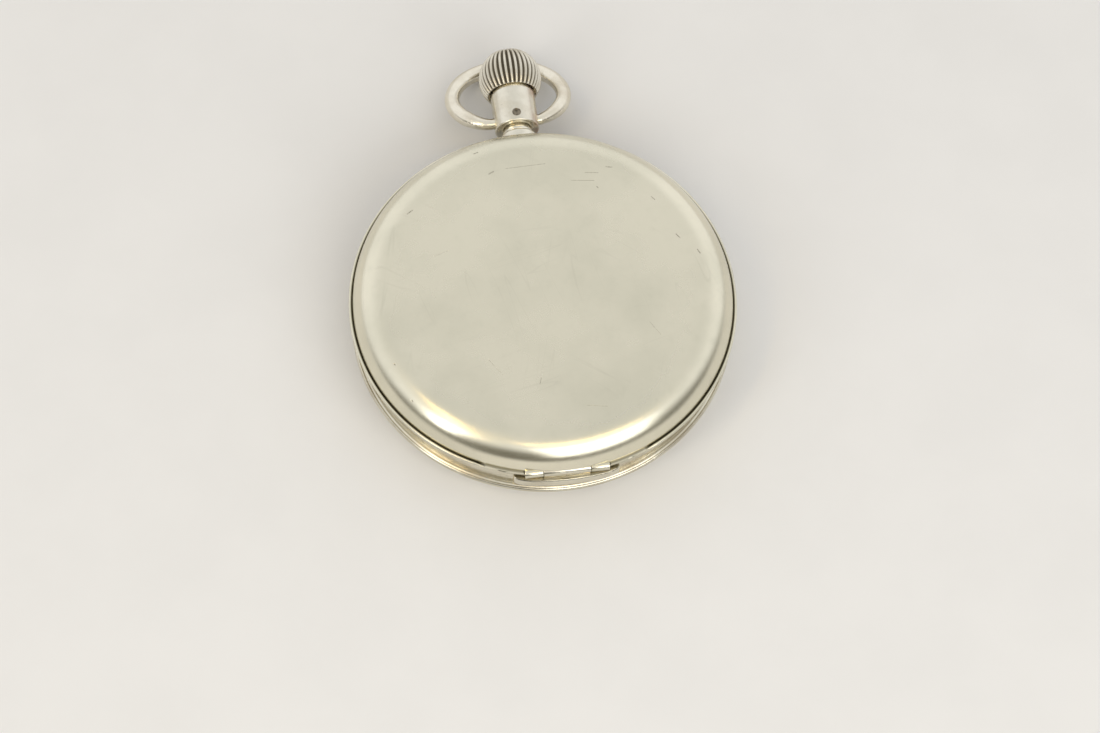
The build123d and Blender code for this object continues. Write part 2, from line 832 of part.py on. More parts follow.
# Bow, hanging back from the sleeve towards the table
with BuildPart() as bow:
    tilt = radians(bow_tilt)
    bow_plane = Plane(
        origin=(0, bow_pivot_from_centre, stem_height),
        x_dir=(1, 0, 0),
        z_dir=(0, sin(tilt), cos(tilt)),
    )
    bow_end_x = sleeve_radius + bow_wire_radius * cos(radians(edge_turn))
    with BuildLine(bow_plane) as bow_line:
        crest = ThreePointArc(
            (-bow_half_width, bow_widest_at),
            (0, bow_length),
            (bow_half_width, bow_widest_at),
        )
        TangentArc((bow_half_width, bow_widest_at), (bow_end_x, 0), tangent=crest % 1)
        TangentArc((-bow_half_width, bow_widest_at), (-bow_end_x, 0), tangent=-(crest % 0))
    with BuildSketch(Plane(origin=crest @ 0, z_dir=crest % 0)):
        Circle(bow_wire_radius)
    sweep(path=bow_line.line)
    bow_ends = [(side * bow_end_x, bow_pivot_from_centre, stem_height) for side in (-1, 1)]
    with Locations(*bow_ends):
        Sphere(bow_wire_radius)
    # The ends of the bow are hollowed to the sleeve's round and carry its pivots
    lengthwise(
        bow_pivot_from_centre - long_overrun,
        sleeve_radius + bow_pivot_clearance,
        2 * long_overrun,
        Mode.SUBTRACT,
    )
    for end, side in zip(bow_ends, (-1, 1)):
        with BuildSketch(Plane(origin=end, z_dir=(-side, 0, 0))):
            Circle(bow_pivot_radius)
        extrude(amount=bow_end_x - sleeve_radius + bow_pivot_depth)
save("bow", bow)

# Crown: a fluted ball with a hollow underside that takes the sleeve
with BuildPart() as crown:
    base_radius = (crown_radius**2 - (crown_middle - crown_base) ** 2) ** 0.5
    skirt_bore = sleeve_radius + crown_skirt_clearance
    cavity_end = sleeve_end + crown_push + push_spare
    with BuildSketch(Plane.XY.offset(stem_height)):
        with BuildLine():
            ThreePointArc(
                (base_radius, crown_base),
                (crown_radius, crown_middle),
                (0, crown_middle + crown_radius),
            )
            Polyline(
                (0, crown_middle + crown_radius),
                (0, cavity_end),
                (skirt_bore, cavity_end),
                (skirt_bore, crown_base),
                (base_radius, crown_base),
            )
        make_face()
    revolve(axis=Axis((0, 0, stem_height), (0, 1, 0)))
    with BuildSketch(stem_plane(crown_base - overrun)):
        Polygon(
            *tooth_points(crown_flutes, crown_radius - flute_depth, crown_radius + fit_clearance, 0),
            align=None,
        )
    extrude(amount=2 * crown_radius + overrun, mode=Mode.INTERSECT)
    lengthwise(
        cavity_end - fit_clearance,
        stem_radius + fit_clearance,
        stem_end - cavity_end + fit_clearance,
        Mode.SUBTRACT,
    )
save("crown", crown)

# Winding stem: pilot, square, rod, collar and shaft
with BuildPart() as winding_stem:
    lengthwise(stem_pilot_start, stem_pilot_radius, stem_square_start - stem_pilot_start)
    with BuildSketch(stem_plane(stem_square_start)):
        Rectangle(stem_square, stem_square)
    extrude(amount=stem_square_end - stem_square_start)
    lengthwise(stem_square_end, stem_rod_radius, stem_collar_start - stem_square_end)
    lengthwise(stem_collar_start, stem_collar_radius, stem_collar_thickness)
    lengthwise(stem_collar_end, stem_radius, stem_end - stem_collar_end)
save("winding_stem", winding_stem)

# Winding pinion that slides on the stem's square
pinion_tooth_turn = 90.0
with BuildPart() as winding_pinion:
    with BuildSketch(stem_plane(winding_pinion_start)):
        Polygon(
            *tooth_points(winding_pinion_teeth, winding_pinion_root, winding_pinion_tip, pinion_tooth_turn),
            align=None,
        )
        Rectangle(stem_square + stem_square_play, stem_square + stem_square_play, mode=Mode.SUBTRACT)
    extrude(amount=winding_pinion_length)
save("winding_pinion", winding_pinion)

# Dial with two feet, a small register and holes for the hands
with BuildPart() as dial:
    bar((0, 0), dial_radius, plate_front - dial_thickness, plate_front)
    for foot in dial_feet:
        bar(foot, dial_foot_radius, plate_front - fit_clearance, plate_front + dial_foot_length)
    for place in (seconds_place, minute_place):
        bar(place, dial_hand_hole, 0, plate_front + overrun, Mode.SUBTRACT)
save("dial", dial)

# Main plate
with BuildPart() as main_plate:
    bar((0, 0), plate_radius, plate_front, plate_back)
    with BuildSketch(Plane.XY.offset(plate_back)):
        with Locations((0, stem_post_start + stem_post_length / 2)):
            Rectangle(stem_post_width, stem_post_length)
    extrude(amount=stem_post_top - plate_back)
    lengthwise(
        stem_post_start - overrun,
        stem_pilot_radius + arbor_play,
        stem_post_length + 2 * overrun,
        Mode.SUBTRACT,
    )
    lengthwise(
        stem_post_start + stem_post_length + works_clearance,
        winding_pinion_tip + notch_clearance,
        plate_radius,
        Mode.SUBTRACT,
    )
    barrel_recess = barrel_teeth * barrel_module / 2 + barrel_module + barrel_recess_clearance
    bar(barrel_place, barrel_recess, barrel_bottom - works_clearance, plate_back + overrun, Mode.SUBTRACT)
    bar(barrel_place, barrel_arbor_radius + arbor_play, 0, plate_back, Mode.SUBTRACT)
    bar(seconds_place, seconds_arbor_radius + arbor_play, 0, plate_back + overrun, Mode.SUBTRACT)
    bar(minute_place, arbor_radius + arbor_play, 0, plate_back + overrun, Mode.SUBTRACT)
    for place in (third_place, escape_place, pallet_place, balance_place):
        bar(place, jewel_radius, plate_back - jewel_height, plate_back + overrun, Mode.SUBTRACT)
    for foot in dial_feet:
        foot_end = plate_front + dial_foot_length + works_clearance
        bar(foot, dial_foot_radius + fit_clearance, 0, foot_end, Mode.SUBTRACT)
    for place in (*barrel_feet, *train_feet, cock_foot, pallet_cock_foot):
        bar(place, screw_radius + screw_hole_play, screw_bottom, plate_back + overrun, Mode.SUBTRACT)
    for angle in case_screw_angles:
        place = from_point((0, 0), case_screw_from_centre, angle)
        bar(place, screw_radius + screw_hole_play, screw_bottom, plate_back + overrun, Mode.SUBTRACT)
save("main_plate", main_plate)

# Case screws, their heads on the band's ledge
with BuildPart() as case_screws:
    for angle in case_screw_angles:
        screw(
            from_point((0, 0), case_screw_from_centre, angle),
            screw_head_radius,
            screw_head_height,
            screw_radius,
            plate_back + ledge_thickness,
            screw_bottom,
            angle,
        )
save("case_screws", case_screws)

# Turns at which the wheels mesh at rest
barrel_turn = 0.0
minute_pinion_turn = meshed_turn(
    barrel_place, barrel_teeth, barrel_turn, minute_place, minute_pinion_leaves
)
third_pinion_turn = meshed_turn(minute_place, minute_teeth, 0, third_place, third_pinion_leaves)
seconds_pinion_turn = meshed_turn(third_place, third_teeth, 0, seconds_place, seconds_pinion_leaves)
escape_pinion_turn = meshed_turn(seconds_place, seconds_teeth, 0, escape_place, escape_pinion_leaves)
crown_wheel_turn = 90.0 + 180 / crown_wheel_teeth
ratchet_turn = meshed_turn(
    crown_wheel_place, crown_wheel_teeth, crown_wheel_turn, barrel_place, ratchet_teeth
)

# Mainspring barrel, its lid, arbor and spring
with BuildPart() as mainspring_barrel:
    barrel_top = barrel_bottom + barrel_height
    bar(barrel_place, barrel_wall_radius, barrel_bottom, barrel_top)
    toothed_disc(barrel_place, barrel_teeth, barrel_module, barrel_turn, *barrel_gear_span)
    barrel_room = barrel_wall_radius - barrel_wall
    bar(barrel_place, barrel_room, barrel_bottom + barrel_floor, barrel_top, Mode.SUBTRACT)
    bar(barrel_place, barrel_arbor_radius + arbor_play, 0, barrel_top, Mode.SUBTRACT)
save("mainspring_barrel", mainspring_barrel)

with BuildPart() as barrel_lid:
    bar(barrel_place, barrel_room - lid_play, barrel_top - lid_thickness, barrel_top)
    bar(barrel_place, barrel_arbor_radius + arbor_play, barrel_bottom, barrel_top + overrun, Mode.SUBTRACT)
save("barrel_lid", barrel_lid)

spring_bottom = barrel_bottom + barrel_floor + mainspring_side_play
spring_top = barrel_top - lid_thickness - mainspring_side_play
with BuildPart() as mainspring:
    spiral_strip(
        barrel_place, 0, mainspring_start, mainspring_pitch, mainspring_turns,
        mainspring_thickness, spring_bottom, spring_top,
    )
save("mainspring", mainspring)

with BuildPart() as barrel_arbor:
    winding_wheel_top = winding_wheel_bottom + winding_wheel_thickness
    square_bottom = winding_wheel_bottom - works_clearance / 2
    bar(barrel_place, barrel_arbor_radius, plate_front + works_clearance, square_bottom)
    bar(barrel_place, barrel_arbor_core, spring_bottom, spring_top)
    with BuildSketch(Plane.XY.offset(square_bottom)):
        with Locations(barrel_place):
            Rectangle(arbor_square, arbor_square)
    extrude(amount=winding_wheel_thickness + works_clearance / 2)
    bar(barrel_place, small_screw_radius, winding_wheel_bottom, winding_wheel_top, Mode.SUBTRACT)
save("barrel_arbor", barrel_arbor)

# Winding wheels and their screws
with BuildPart() as ratchet_wheel:
    toothed_disc(
        barrel_place, ratchet_teeth, winding_module, ratchet_turn,
        winding_wheel_bottom, winding_wheel_top,
    )
    with BuildSketch(Plane.XY.offset(winding_wheel_bottom - overrun)):
        with Locations(barrel_place):
            Rectangle(arbor_square + fit_clearance, arbor_square + fit_clearance)
    extrude(amount=winding_wheel_thickness + 2 * overrun, mode=Mode.SUBTRACT)
save("ratchet_wheel", ratchet_wheel)

with BuildPart() as ratchet_screw:
    screw(
        barrel_place, ratchet_screw_head, small_head_height, small_screw_radius - fit_clearance,
        winding_wheel_top, winding_wheel_bottom, slot_turn,
    )
save("ratchet_screw", ratchet_screw)

with BuildPart() as crown_wheel:
    toothed_disc(
        crown_wheel_place, crown_wheel_teeth, winding_module, crown_wheel_turn,
        winding_wheel_bottom, winding_wheel_top,
    )
    bar(crown_wheel_place, crown_screw_shoulder + arbor_play, 0, cover_top, Mode.SUBTRACT)
save("crown_wheel", crown_wheel)

with BuildPart() as crown_wheel_screw:
    screw(
        crown_wheel_place, crown_screw_head, small_head_height, crown_screw_shoulder,
        winding_wheel_top + fit_clearance, recess_floor, slot_turn + slot_turn_step,
    )
    bar(crown_wheel_place, screw_radius, barrel_bridge_bottom, recess_floor)
save("crown_wheel_screw", crown_wheel_screw)

# Click, its screw and its spring
click_tip_radius = ratchet_teeth * winding_module / 2 + winding_module * tooth_height_share
click_tip = from_point(barrel_place, click_tip_radius + click_tip_from_teeth, click_tip_angle)
with BuildPart() as click:
    with BuildSketch(Plane.XY.offset(winding_wheel_bottom)):
        arm(click_place, from_point(click_tip, click_nose, click_tip_angle), click_boss, click_nose)
        with Locations(click_place):
            Circle(small_screw_radius + arbor_play, mode=Mode.SUBTRACT)
    extrude(amount=click_thickness)
save("click", click)

with BuildPart() as click_screw:
    click_seat = winding_wheel_bottom + click_thickness + fit_clearance
    screw(
        click_place, small_head_radius, small_head_height, small_screw_radius,
        click_seat, barrel_bridge_bottom, slot_turn - slot_turn_step,
    )
save("click_screw", click_screw)

with BuildPart() as click_spring:
    with BuildSketch(Plane.XY.offset(recess_floor)):
        arm(click_spring_place, click_spring_bend, spring_half_width, spring_half_width)
        arm(click_spring_bend, click_spring_tip, spring_half_width, spring_half_width)
        with Locations(click_spring_place):
            Circle(spring_boss)
    extrude(amount=lever_thickness)
save("click_spring", click_spring)


def winding_recess():
    """The plan of the pocket for the winding wheels, the click and its spring."""
    with Locations(barrel_place):
        Circle(ratchet_recess)
    with Locations(crown_wheel_place):
        Circle(crown_wheel_recess)
    arm(click_place, click_tip, click_boss + bridge_gap, click_boss)
    arm(click_spring_place, click_spring_bend, spring_boss + bridge_gap, spring_boss)
    arm(click_spring_bend, click_spring_tip, spring_boss, spring_boss)


# Bridge over the barrel, the minute wheel and the winding work
with BuildPart() as barrel_bridge:
    with BuildSketch(Plane.XY.offset(barrel_bridge_bottom)):
        Circle(movement_radius)
        with Locations((0, barrel_bridge_edge)):
            Rectangle(
                2 * movement_radius, movement_radius, align=(Align.CENTER, Align.MIN), mode=Mode.INTERSECT
            )
        with Locations(barrel_place):
            Circle(barrel_bridge_lobe)
        with Locations(barrel_feet[0]):
            Circle(barrel_foot_lobe)
        with Locations((operating_tab_middle, stem_collar_start)):
            Rectangle(
                operating_tab_width + 4 * bridge_gap,
                2 * (crown_push + operating_tab_thickness + bridge_gap),
                mode=Mode.SUBTRACT,
            )
    extrude(amount=bridge_top - barrel_bridge_bottom)
    for place, radius in zip(barrel_feet, barrel_feet_radii):
        bar(place, radius, plate_back, barrel_bridge_bottom + fit_clearance)
    with BuildSketch(Plane.XY.offset(recess_floor)):
        winding_recess()
    extrude(amount=bridge_top, mode=Mode.SUBTRACT)
    lengthwise(
        stem_collar_start - crown_push - arbor_play, stem_collar_radius + notch_clearance,
        crown_push + overrun, Mode.SUBTRACT,
    )
    with BuildSketch(Plane.XY.offset(barrel_bridge_bottom - overrun)):
        with Locations((0, winding_pinion_start + winding_pinion_length / 2)):
            Rectangle(
                2 * (winding_pinion_tip + works_clearance),
                winding_pinion_length + 2 * works_clearance,
            )
    extrude(amount=bridge_top, mode=Mode.SUBTRACT)
    for place in barrel_feet:
        bar(place, screw_head_radius + screw_hole_play, head_seat, cover_top, Mode.SUBTRACT)
        bar(place, screw_radius + screw_hole_play, plate_back - overrun, cover_top, Mode.SUBTRACT)
    bar(barrel_place, barrel_arbor_radius + arbor_play, 0, cover_top, Mode.SUBTRACT)
    bar(minute_place, arbor_radius + arbor_play, 0, cover_top, Mode.SUBTRACT)
    bar(crown_wheel_place, screw_radius + screw_hole_play, 0, cover_top, Mode.SUBTRACT)
    for place in (click_place, column_place, operating_place, hammer_place, jumper_place):
        bar(place, small_screw_radius + screw_hole_play, 0, cover_top, Mode.SUBTRACT)
save("barrel_bridge", barrel_bridge)

# Bridge over the third, seconds and escape wheels
with BuildPart() as train_bridge:
    with BuildSketch(Plane.XY.offset(bridge_bottom)):
        Circle(movement_radius)
        with Locations((train_bridge_left, train_bridge_edge)):
            Rectangle(
                2 * movement_radius, 2 * movement_radius, align=(Align.MIN, Align.MAX), mode=Mode.INTERSECT
            )
        with Locations(barrel_place):
            Circle(barrel_bridge_lobe + bridge_gap, mode=Mode.SUBTRACT)
        with Locations(barrel_feet[0]):
            Circle(barrel_foot_lobe + bridge_gap, mode=Mode.SUBTRACT)
        with Locations(balance_place):
            Circle(balance_opening, mode=Mode.SUBTRACT)
        arm(cock_foot, balance_place, cock_head_radius + bridge_gap, cock_head_radius, Mode.SUBTRACT)
        with Locations((train_bridge_horn, train_bridge_horn_height)):
            Rectangle(movement_radius, movement_radius, align=(Align.MAX, Align.MAX), mode=Mode.SUBTRACT)
    extrude(amount=bridge_top - bridge_bottom)
    for place in train_feet:
        bar(place, train_foot_radius, plate_back, bridge_bottom + fit_clearance)
    for place in train_feet:
        bar(place, screw_head_radius + screw_hole_play, head_seat, cover_top, Mode.SUBTRACT)
        bar(place, screw_radius + screw_hole_play, plate_back - overrun, cover_top, Mode.SUBTRACT)
    for angle in case_screw_angles:
        bar(from_point((0, 0), case_screw_from_centre, angle), case_screw_notch, 0, cover_top, Mode.SUBTRACT)
    bar(seconds_place, seconds_arbor_radius + arbor_play, 0, cover_top, Mode.SUBTRACT)
    for place in (third_place, escape_place):
        bar(place, arbor_radius + arbor_play, 0, cover_top, Mode.SUBTRACT)
        bar(place, jewel_radius, bridge_top - jewel_height, cover_top, Mode.SUBTRACT)
    bar(brake_place, small_screw_radius + screw_hole_play, 0, cover_top, Mode.SUBTRACT)
save("train_bridge", train_bridge)

# Cock over the balance
with BuildPart() as balance_cock:
    with BuildSketch(Plane.XY.offset(cock_bottom)):
        arm(cock_foot, balance_place, cock_head_radius, cock_head_radius - bridge_gap)
    extrude(amount=bridge_top - cock_bottom)
    bar(cock_foot, cock_foot_radius, plate_back, cock_bottom + fit_clearance)
    bar(cock_foot, screw_head_radius + screw_hole_play, head_seat, cover_top, Mode.SUBTRACT)
    bar(cock_foot, screw_radius + screw_hole_play, 0, cover_top, Mode.SUBTRACT)
    bar(balance_place, arbor_radius + arbor_play, 0, cover_top, Mode.SUBTRACT)
    bar(balance_place, jewel_radius, bridge_top - jewel_height, cover_top, Mode.SUBTRACT)
    # Stud that holds the hairspring's outer end
    spring_end = hairspring_start + hairspring_turns * hairspring_pitch
    stud_place = from_point(balance_place, spring_end + stud_half, hook_plane_turn)
    bar(stud_place, stud_half - fit_clearance, hairspring_span[0], cock_bottom + fit_clearance)
save("balance_cock", balance_cock)

# Cock over the pallet fork
with BuildPart() as pallet_cock:
    with BuildSketch(Plane.XY.offset(pallet_cock_span[0])):
        arm(pallet_cock_foot, pallet_place, pallet_cock_half, pallet_cock_head_half)
    extrude(amount=pallet_cock_span[1] - pallet_cock_span[0])
    bar(pallet_cock_foot, pallet_cock_half, plate_back, pallet_cock_span[0] + fit_clearance)
    bar(
        pallet_cock_foot, small_head_radius + screw_hole_play,
        pallet_cock_span[1] - small_head_height, cover_top, Mode.SUBTRACT,
    )
    bar(pallet_cock_foot, screw_radius + screw_hole_play, 0, cover_top, Mode.SUBTRACT)
    bar(pallet_place, jewel_radius, pallet_cock_span[1] - jewel_height, cover_top, Mode.SUBTRACT)
    bar(pallet_place, arbor_radius + arbor_play, 0, cover_top, Mode.SUBTRACT)
save("pallet_cock", pallet_cock)

with BuildPart() as pallet_cock_screw:
    screw(
        pallet_cock_foot, small_head_radius, small_head_height, screw_radius,
        pallet_cock_span[1] - small_head_height, screw_bottom, slot_turn,
    )
save("pallet_cock_screw", pallet_cock_screw)

# Screws of the bridges and the balance cock
with BuildPart() as bridge_screws:
    for number, place in enumerate((*barrel_feet, *train_feet, cock_foot)):
        screw(
            place, screw_head_radius, screw_head_height, screw_radius,
            head_seat, screw_bottom, number * slot_turn_step,
        )
save("bridge_screws", bridge_screws)

# Bearing jewels in the plate, the bridges and the cocks
with BuildPart() as jewel_bearings:
    jewel_seats = [(pallet_place, plate_back), (pallet_place, pallet_cock_span[1])]
    for place in (third_place, escape_place, balance_place):
        jewel_seats += [(place, plate_back), (place, bridge_top)]
    for place, top in jewel_seats:
        bar(place, jewel_radius - fit_clearance, top - jewel_height, top)
        bar(place, pivot_radius + pivot_play, top - jewel_height - overrun, top + overrun, Mode.SUBTRACT)
save("jewel_bearings", jewel_bearings)


def jewelled_arbor(place, upper_top):
    """An arbor with a pivot at each end, between the plate's jewel and an upper jewel."""
    bar(place, pivot_radius, plate_back - jewel_height + pivot_play, upper_top - pivot_play)
    bar(place, arbor_radius, plate_back + shoulder_play, upper_top - jewel_height - shoulder_play)


# Wheels of the going train
with BuildPart() as third_wheel:
    jewelled_arbor(third_place, bridge_top)
    toothed_disc(
        third_place, third_teeth, third_module, 0,
        third_wheel_bottom, third_wheel_bottom + wheel_thickness,
    )
    spoke_windows(
        third_place, wheel_hub, third_teeth * third_module / 2 - wheel_rim, spokes, spoke_width,
        third_wheel_bottom, third_wheel_bottom + wheel_thickness,
    )
    toothed_disc(third_place, third_pinion_leaves, minute_module, third_pinion_turn, *third_pinion_span)
save("third_wheel", third_wheel)

with BuildPart() as minute_wheel:
    bar(minute_place, arbor_radius, minute_hand_bottom, heart_bottom + heart_height)
    toothed_disc(
        minute_place, minute_teeth, minute_module, 0,
        minute_wheel_bottom, minute_wheel_bottom + wheel_thickness,
    )
    spoke_windows(
        minute_place, wheel_hub, minute_teeth * minute_module / 2 - wheel_rim, spokes, spoke_width,
        minute_wheel_bottom, minute_wheel_bottom + wheel_thickness,
    )
    toothed_disc(minute_place, minute_pinion_leaves, barrel_module, minute_pinion_turn, *minute_pinion_span)
save("minute_wheel", minute_wheel)

with BuildPart() as seconds_wheel:
    bar(seconds_place, seconds_arbor_radius, sweep_hand_bottom, heart_bottom + heart_height)
    toothed_disc(
        seconds_place, seconds_teeth, seconds_module, 0,
        seconds_wheel_bottom, seconds_wheel_bottom + wheel_thickness,
    )
    spoke_windows(
        seconds_place, wheel_hub, seconds_teeth * seconds_module / 2 - wheel_rim, spokes, spoke_width,
        seconds_wheel_bottom, seconds_wheel_bottom + wheel_thickness,
    )
    toothed_disc(
        seconds_place, seconds_pinion_leaves, third_module, seconds_pinion_turn, *seconds_pinion_span
    )
save("seconds_wheel", seconds_wheel)

# Escape wheel with leaning pointed teeth
with BuildPart() as escape_wheel:
    jewelled_arbor(escape_place, bridge_top)
    escape_root = escape_wheel_radius - escape_tooth_depth
    escape_reaches = (escape_root, escape_wheel_radius, escape_wheel_radius, escape_root)
    escape_points = []
    for number in range(escape_teeth):
        for share, radius in zip(escape_tooth_shares, escape_reaches):
            angle = radians((number + share) * 360 / escape_teeth)
            escape_points.append((radius * cos(angle), radius * sin(angle)))
    with BuildSketch(Plane.XY.offset(escape_wheel_bottom)):
        with Locations(escape_place):
            Polygon(*escape_points, align=None)
    extrude(amount=wheel_thickness)
    spoke_windows(
        escape_place, wheel_hub / 2, escape_root - escape_rim, spokes,
        spoke_width / 2, escape_wheel_bottom, escape_wheel_bottom + wheel_thickness,
    )
    toothed_disc(escape_place, escape_pinion_leaves, seconds_module, escape_pinion_turn, *escape_pinion_span)
save("escape_wheel", escape_wheel)

# Pallet fork between the escape wheel and the balance roller
fork_line = line_angle(pallet_place, balance_place)
escape_line = line_angle(escape_place, pallet_place)
fork_centres = hypot(balance_place[0] - pallet_place[0], balance_place[1] - pallet_place[1])
fork_reach = fork_centres - impulse_offset
fork_end = from_point(pallet_place, fork_reach - fork_horn_length / 2, fork_line)
pallet_lines = (escape_line - pallet_spread, escape_line + pallet_spread)
pallet_seats = [from_point(escape_place, pallet_from_escape, line) for line in pallet_lines]
with BuildPart() as pallet_fork:
    jewelled_arbor(pallet_place, pallet_cock_span[1])
    with BuildSketch(Plane.XY.offset(fork_span[0])):
        arm(pallet_place, fork_end, fork_half_width * 2, fork_half_width)
        for seat, line in zip(pallet_seats, pallet_lines):
            arm(pallet_place, from_point(seat, pallet_set_back, line), fork_half_width, pallet_arm_half)
        horn_place = from_point(pallet_place, fork_reach, fork_line)
        with Locations(Location((*horn_place, 0), (0, 0, fork_line))):
            Rectangle(fork_horn_length, fork_notch_width + 2 * fork_horn)
            Rectangle(fork_horn_length, fork_notch_width, mode=Mode.SUBTRACT)
        notch_place = from_point(horn_place, fork_horn_length / 2, fork_line)
        with Locations(Location((*notch_place, 0), (0, 0, fork_line))):
            Rectangle(fork_horn_length, fork_notch_width, mode=Mode.SUBTRACT)
        for seat, line in zip(pallet_seats, pallet_lines):
            with Locations(Location((*seat, 0), (0, 0, line))):
                Rectangle(pallet_jewel_length, pallet_jewel_width, mode=Mode.SUBTRACT)
    extrude(amount=fork_span[1] - fork_span[0])
save("pallet_fork", pallet_fork)

with BuildPart() as pallet_jewels:
    with BuildSketch(Plane.XY.offset(fork_span[0])):
        for seat, line in zip(pallet_seats, pallet_lines):
            with Locations(Location((*seat, 0), (0, 0, line))):
                Rectangle(pallet_jewel_length, pallet_jewel_width)
    extrude(amount=fork_span[1] - fork_span[0])
save("pallet_jewels", pallet_jewels)

# Balance with rim screws, on a staff with roller and collet
with BuildPart() as balance_wheel:
    with BuildSketch(Plane.XY.offset(balance_span[0])):
        with Locations(balance_place):
            Circle(balance_rim_outer)
            Circle(balance_rim_inner, mode=Mode.SUBTRACT)
    extrude(amount=balance_span[1] - balance_span[0])
    with BuildSketch(Plane.XY.offset(balance_span[0])):
        with Locations(balance_place):
            Rectangle(balance_rim_inner + balance_rim_outer, balance_arm_width)
            Circle(balance_hub)
    extrude(amount=balance_arm_height)
    bar(balance_place, arbor_radius + fit_clearance, 0, cover_top, Mode.SUBTRACT)
save("balance_wheel", balance_wheel)

with BuildPart() as balance_screws:
    rim_middle = (balance_span[0] + balance_span[1]) / 2
    for number in range(balance_screw_count):
        angle = (number + 1 / 2) * 360 / balance_screw_count
        foot = from_point(balance_place, balance_rim_outer, angle)
        outwards = (cos(radians(angle)), sin(radians(angle)), 0)
        with BuildSketch(Plane(origin=(foot[0], foot[1], rim_middle), z_dir=outwards)):
            Circle(balance_screw_radius)
        extrude(amount=balance_screw_length)
    bar(balance_place, balance_rim_outer + fit_clearance, 0, cover_top, Mode.SUBTRACT)
save("balance_screws", balance_screws)

with BuildPart() as balance_staff:
    jewelled_arbor(balance_place, bridge_top)
    bar(balance_place, roller_radius, *roller_span)
    impulse_place = from_point(balance_place, impulse_offset, line_angle(balance_place, pallet_place))
    bar(impulse_place, impulse_radius, roller_span[0] - impulse_drop, roller_span[1])
    bar(balance_place, collet_radius, hairspring_span[0] - fit_clearance, hairspring_span[1] + fit_clearance)
save("balance_staff", balance_staff)

with BuildPart() as hairspring:
    spiral_strip(
        balance_place, hook_plane_turn, hairspring_start, hairspring_pitch, hairspring_turns,
        hairspring_thickness, *hairspring_span,
    )
save("hairspring", hairspring)

# Regulator with its index over the cock
with BuildPart() as regulator:
    with BuildSketch(Plane.XY.offset(bridge_top)):
        index_end = from_point(balance_place, regulator_reach, hook_plane_turn + regulator_swing)
        arm(balance_place, index_end, regulator_half * 2, regulator_half / 2)
        with Locations(balance_place):
            Circle(regulator_outer)
            Circle(regulator_inner, mode=Mode.SUBTRACT)
    extrude(amount=regulator_thickness)
save("regulator", regulator)


def heart_shape(place, radius, bore):
    """A heart cam with its low point to the left, drawn into the open sketch."""
    low = radius * heart_low_share
    points = []
    for number in range(2 * heart_points):
        share = abs(number - heart_points) / heart_points
        reach = radius - (radius - low) * share
        angle = radians(180 + number * 180 / heart_points)
        points.append((reach * cos(angle), reach * sin(angle)))
    with Locations(place):
        Polygon(*points, align=None)
        Circle(bore, mode=Mode.SUBTRACT)


# Heart cams that bring the hands back to zero
with BuildPart() as seconds_heart_cam:
    with BuildSketch(Plane.XY.offset(heart_bottom)):
        with Locations(seconds_place):
            Circle(seconds_arbor_radius * 2)
        heart_shape(seconds_place, seconds_heart_radius, seconds_arbor_radius + fit_clearance)
    extrude(amount=heart_height)
save("seconds_heart_cam", seconds_heart_cam)

with BuildPart() as minute_heart_cam:
    with BuildSketch(Plane.XY.offset(heart_bottom)):
        with Locations(minute_place):
            Circle(arbor_radius * 2)
        heart_shape(minute_place, minute_heart_radius, arbor_radius + fit_clearance)
    extrude(amount=heart_height)
save("minute_heart_cam", minute_heart_cam)

# Hands under the glass
with BuildPart() as sweep_hand:
    with BuildSketch(Plane.XY.offset(sweep_hand_bottom)):
        Polygon(
            (-sweep_hand_half, 0), (sweep_hand_half, 0), (hand_tip_half, sweep_hand_reach),
            (-hand_tip_half, sweep_hand_reach), align=None,
        )
        Polygon(
            (-sweep_hand_half * 2, -sweep_hand_tail), (sweep_hand_half * 2, -sweep_hand_tail),
            (sweep_hand_half, 0), (-sweep_hand_half, 0), align=None,
        )
        Circle(sweep_hub_radius)
    extrude(amount=hand_thickness)
    hub_radius = (sweep_hub_radius + seconds_arbor_radius) / 2
    bar(seconds_place, hub_radius, sweep_hand_bottom, sweep_hand_bottom + hand_hub_height)
    bar(seconds_place, seconds_arbor_radius + fit_clearance, 0, plate_front, Mode.SUBTRACT)
save("sweep_hand", sweep_hand)

with BuildPart() as minute_hand:
    with BuildSketch(Plane.XY.offset(minute_hand_bottom)):
        with Locations(minute_place):
            Polygon(
                (-minute_hand_half, 0), (minute_hand_half, 0), (hand_tip_half, minute_hand_reach),
                (-hand_tip_half, minute_hand_reach), align=None,
            )
            Circle(minute_hub_radius)
    extrude(amount=hand_thickness)
    bar(minute_place, arbor_radius + fit_clearance, 0, plate_front, Mode.SUBTRACT)
save("minute_hand", minute_hand)

# Column wheel and its shouldered screw
with BuildPart() as column_wheel:
    with BuildSketch(Plane.XY.offset(works_bottom)):
        with Locations(column_place):
            ratchet_points = []
            ratchet_reaches = (column_ratchet_radius, column_ratchet_radius - column_ratchet_depth)
            for number in range(column_teeth):
                for share, radius in zip(column_ratchet_shares, ratchet_reaches):
                    angle = radians((number + share) * 360 / column_teeth)
                    ratchet_points.append((radius * cos(angle), radius * sin(angle)))
            Polygon(*ratchet_points, align=None)
    extrude(amount=lever_thickness)
    with BuildSketch(Plane.XY.offset(works_bottom + lever_thickness)):
        with Locations(column_place):
            Circle(column_outer)
            Circle(column_inner, mode=Mode.SUBTRACT)
            with PolarLocations(column_outer, column_count):
                Rectangle(column_outer, column_width, mode=Mode.SUBTRACT)
    extrude(amount=column_top - works_bottom - lever_thickness)
    bar(column_place, column_bore, 0, cover_top, Mode.SUBTRACT)
save("column_wheel", column_wheel)

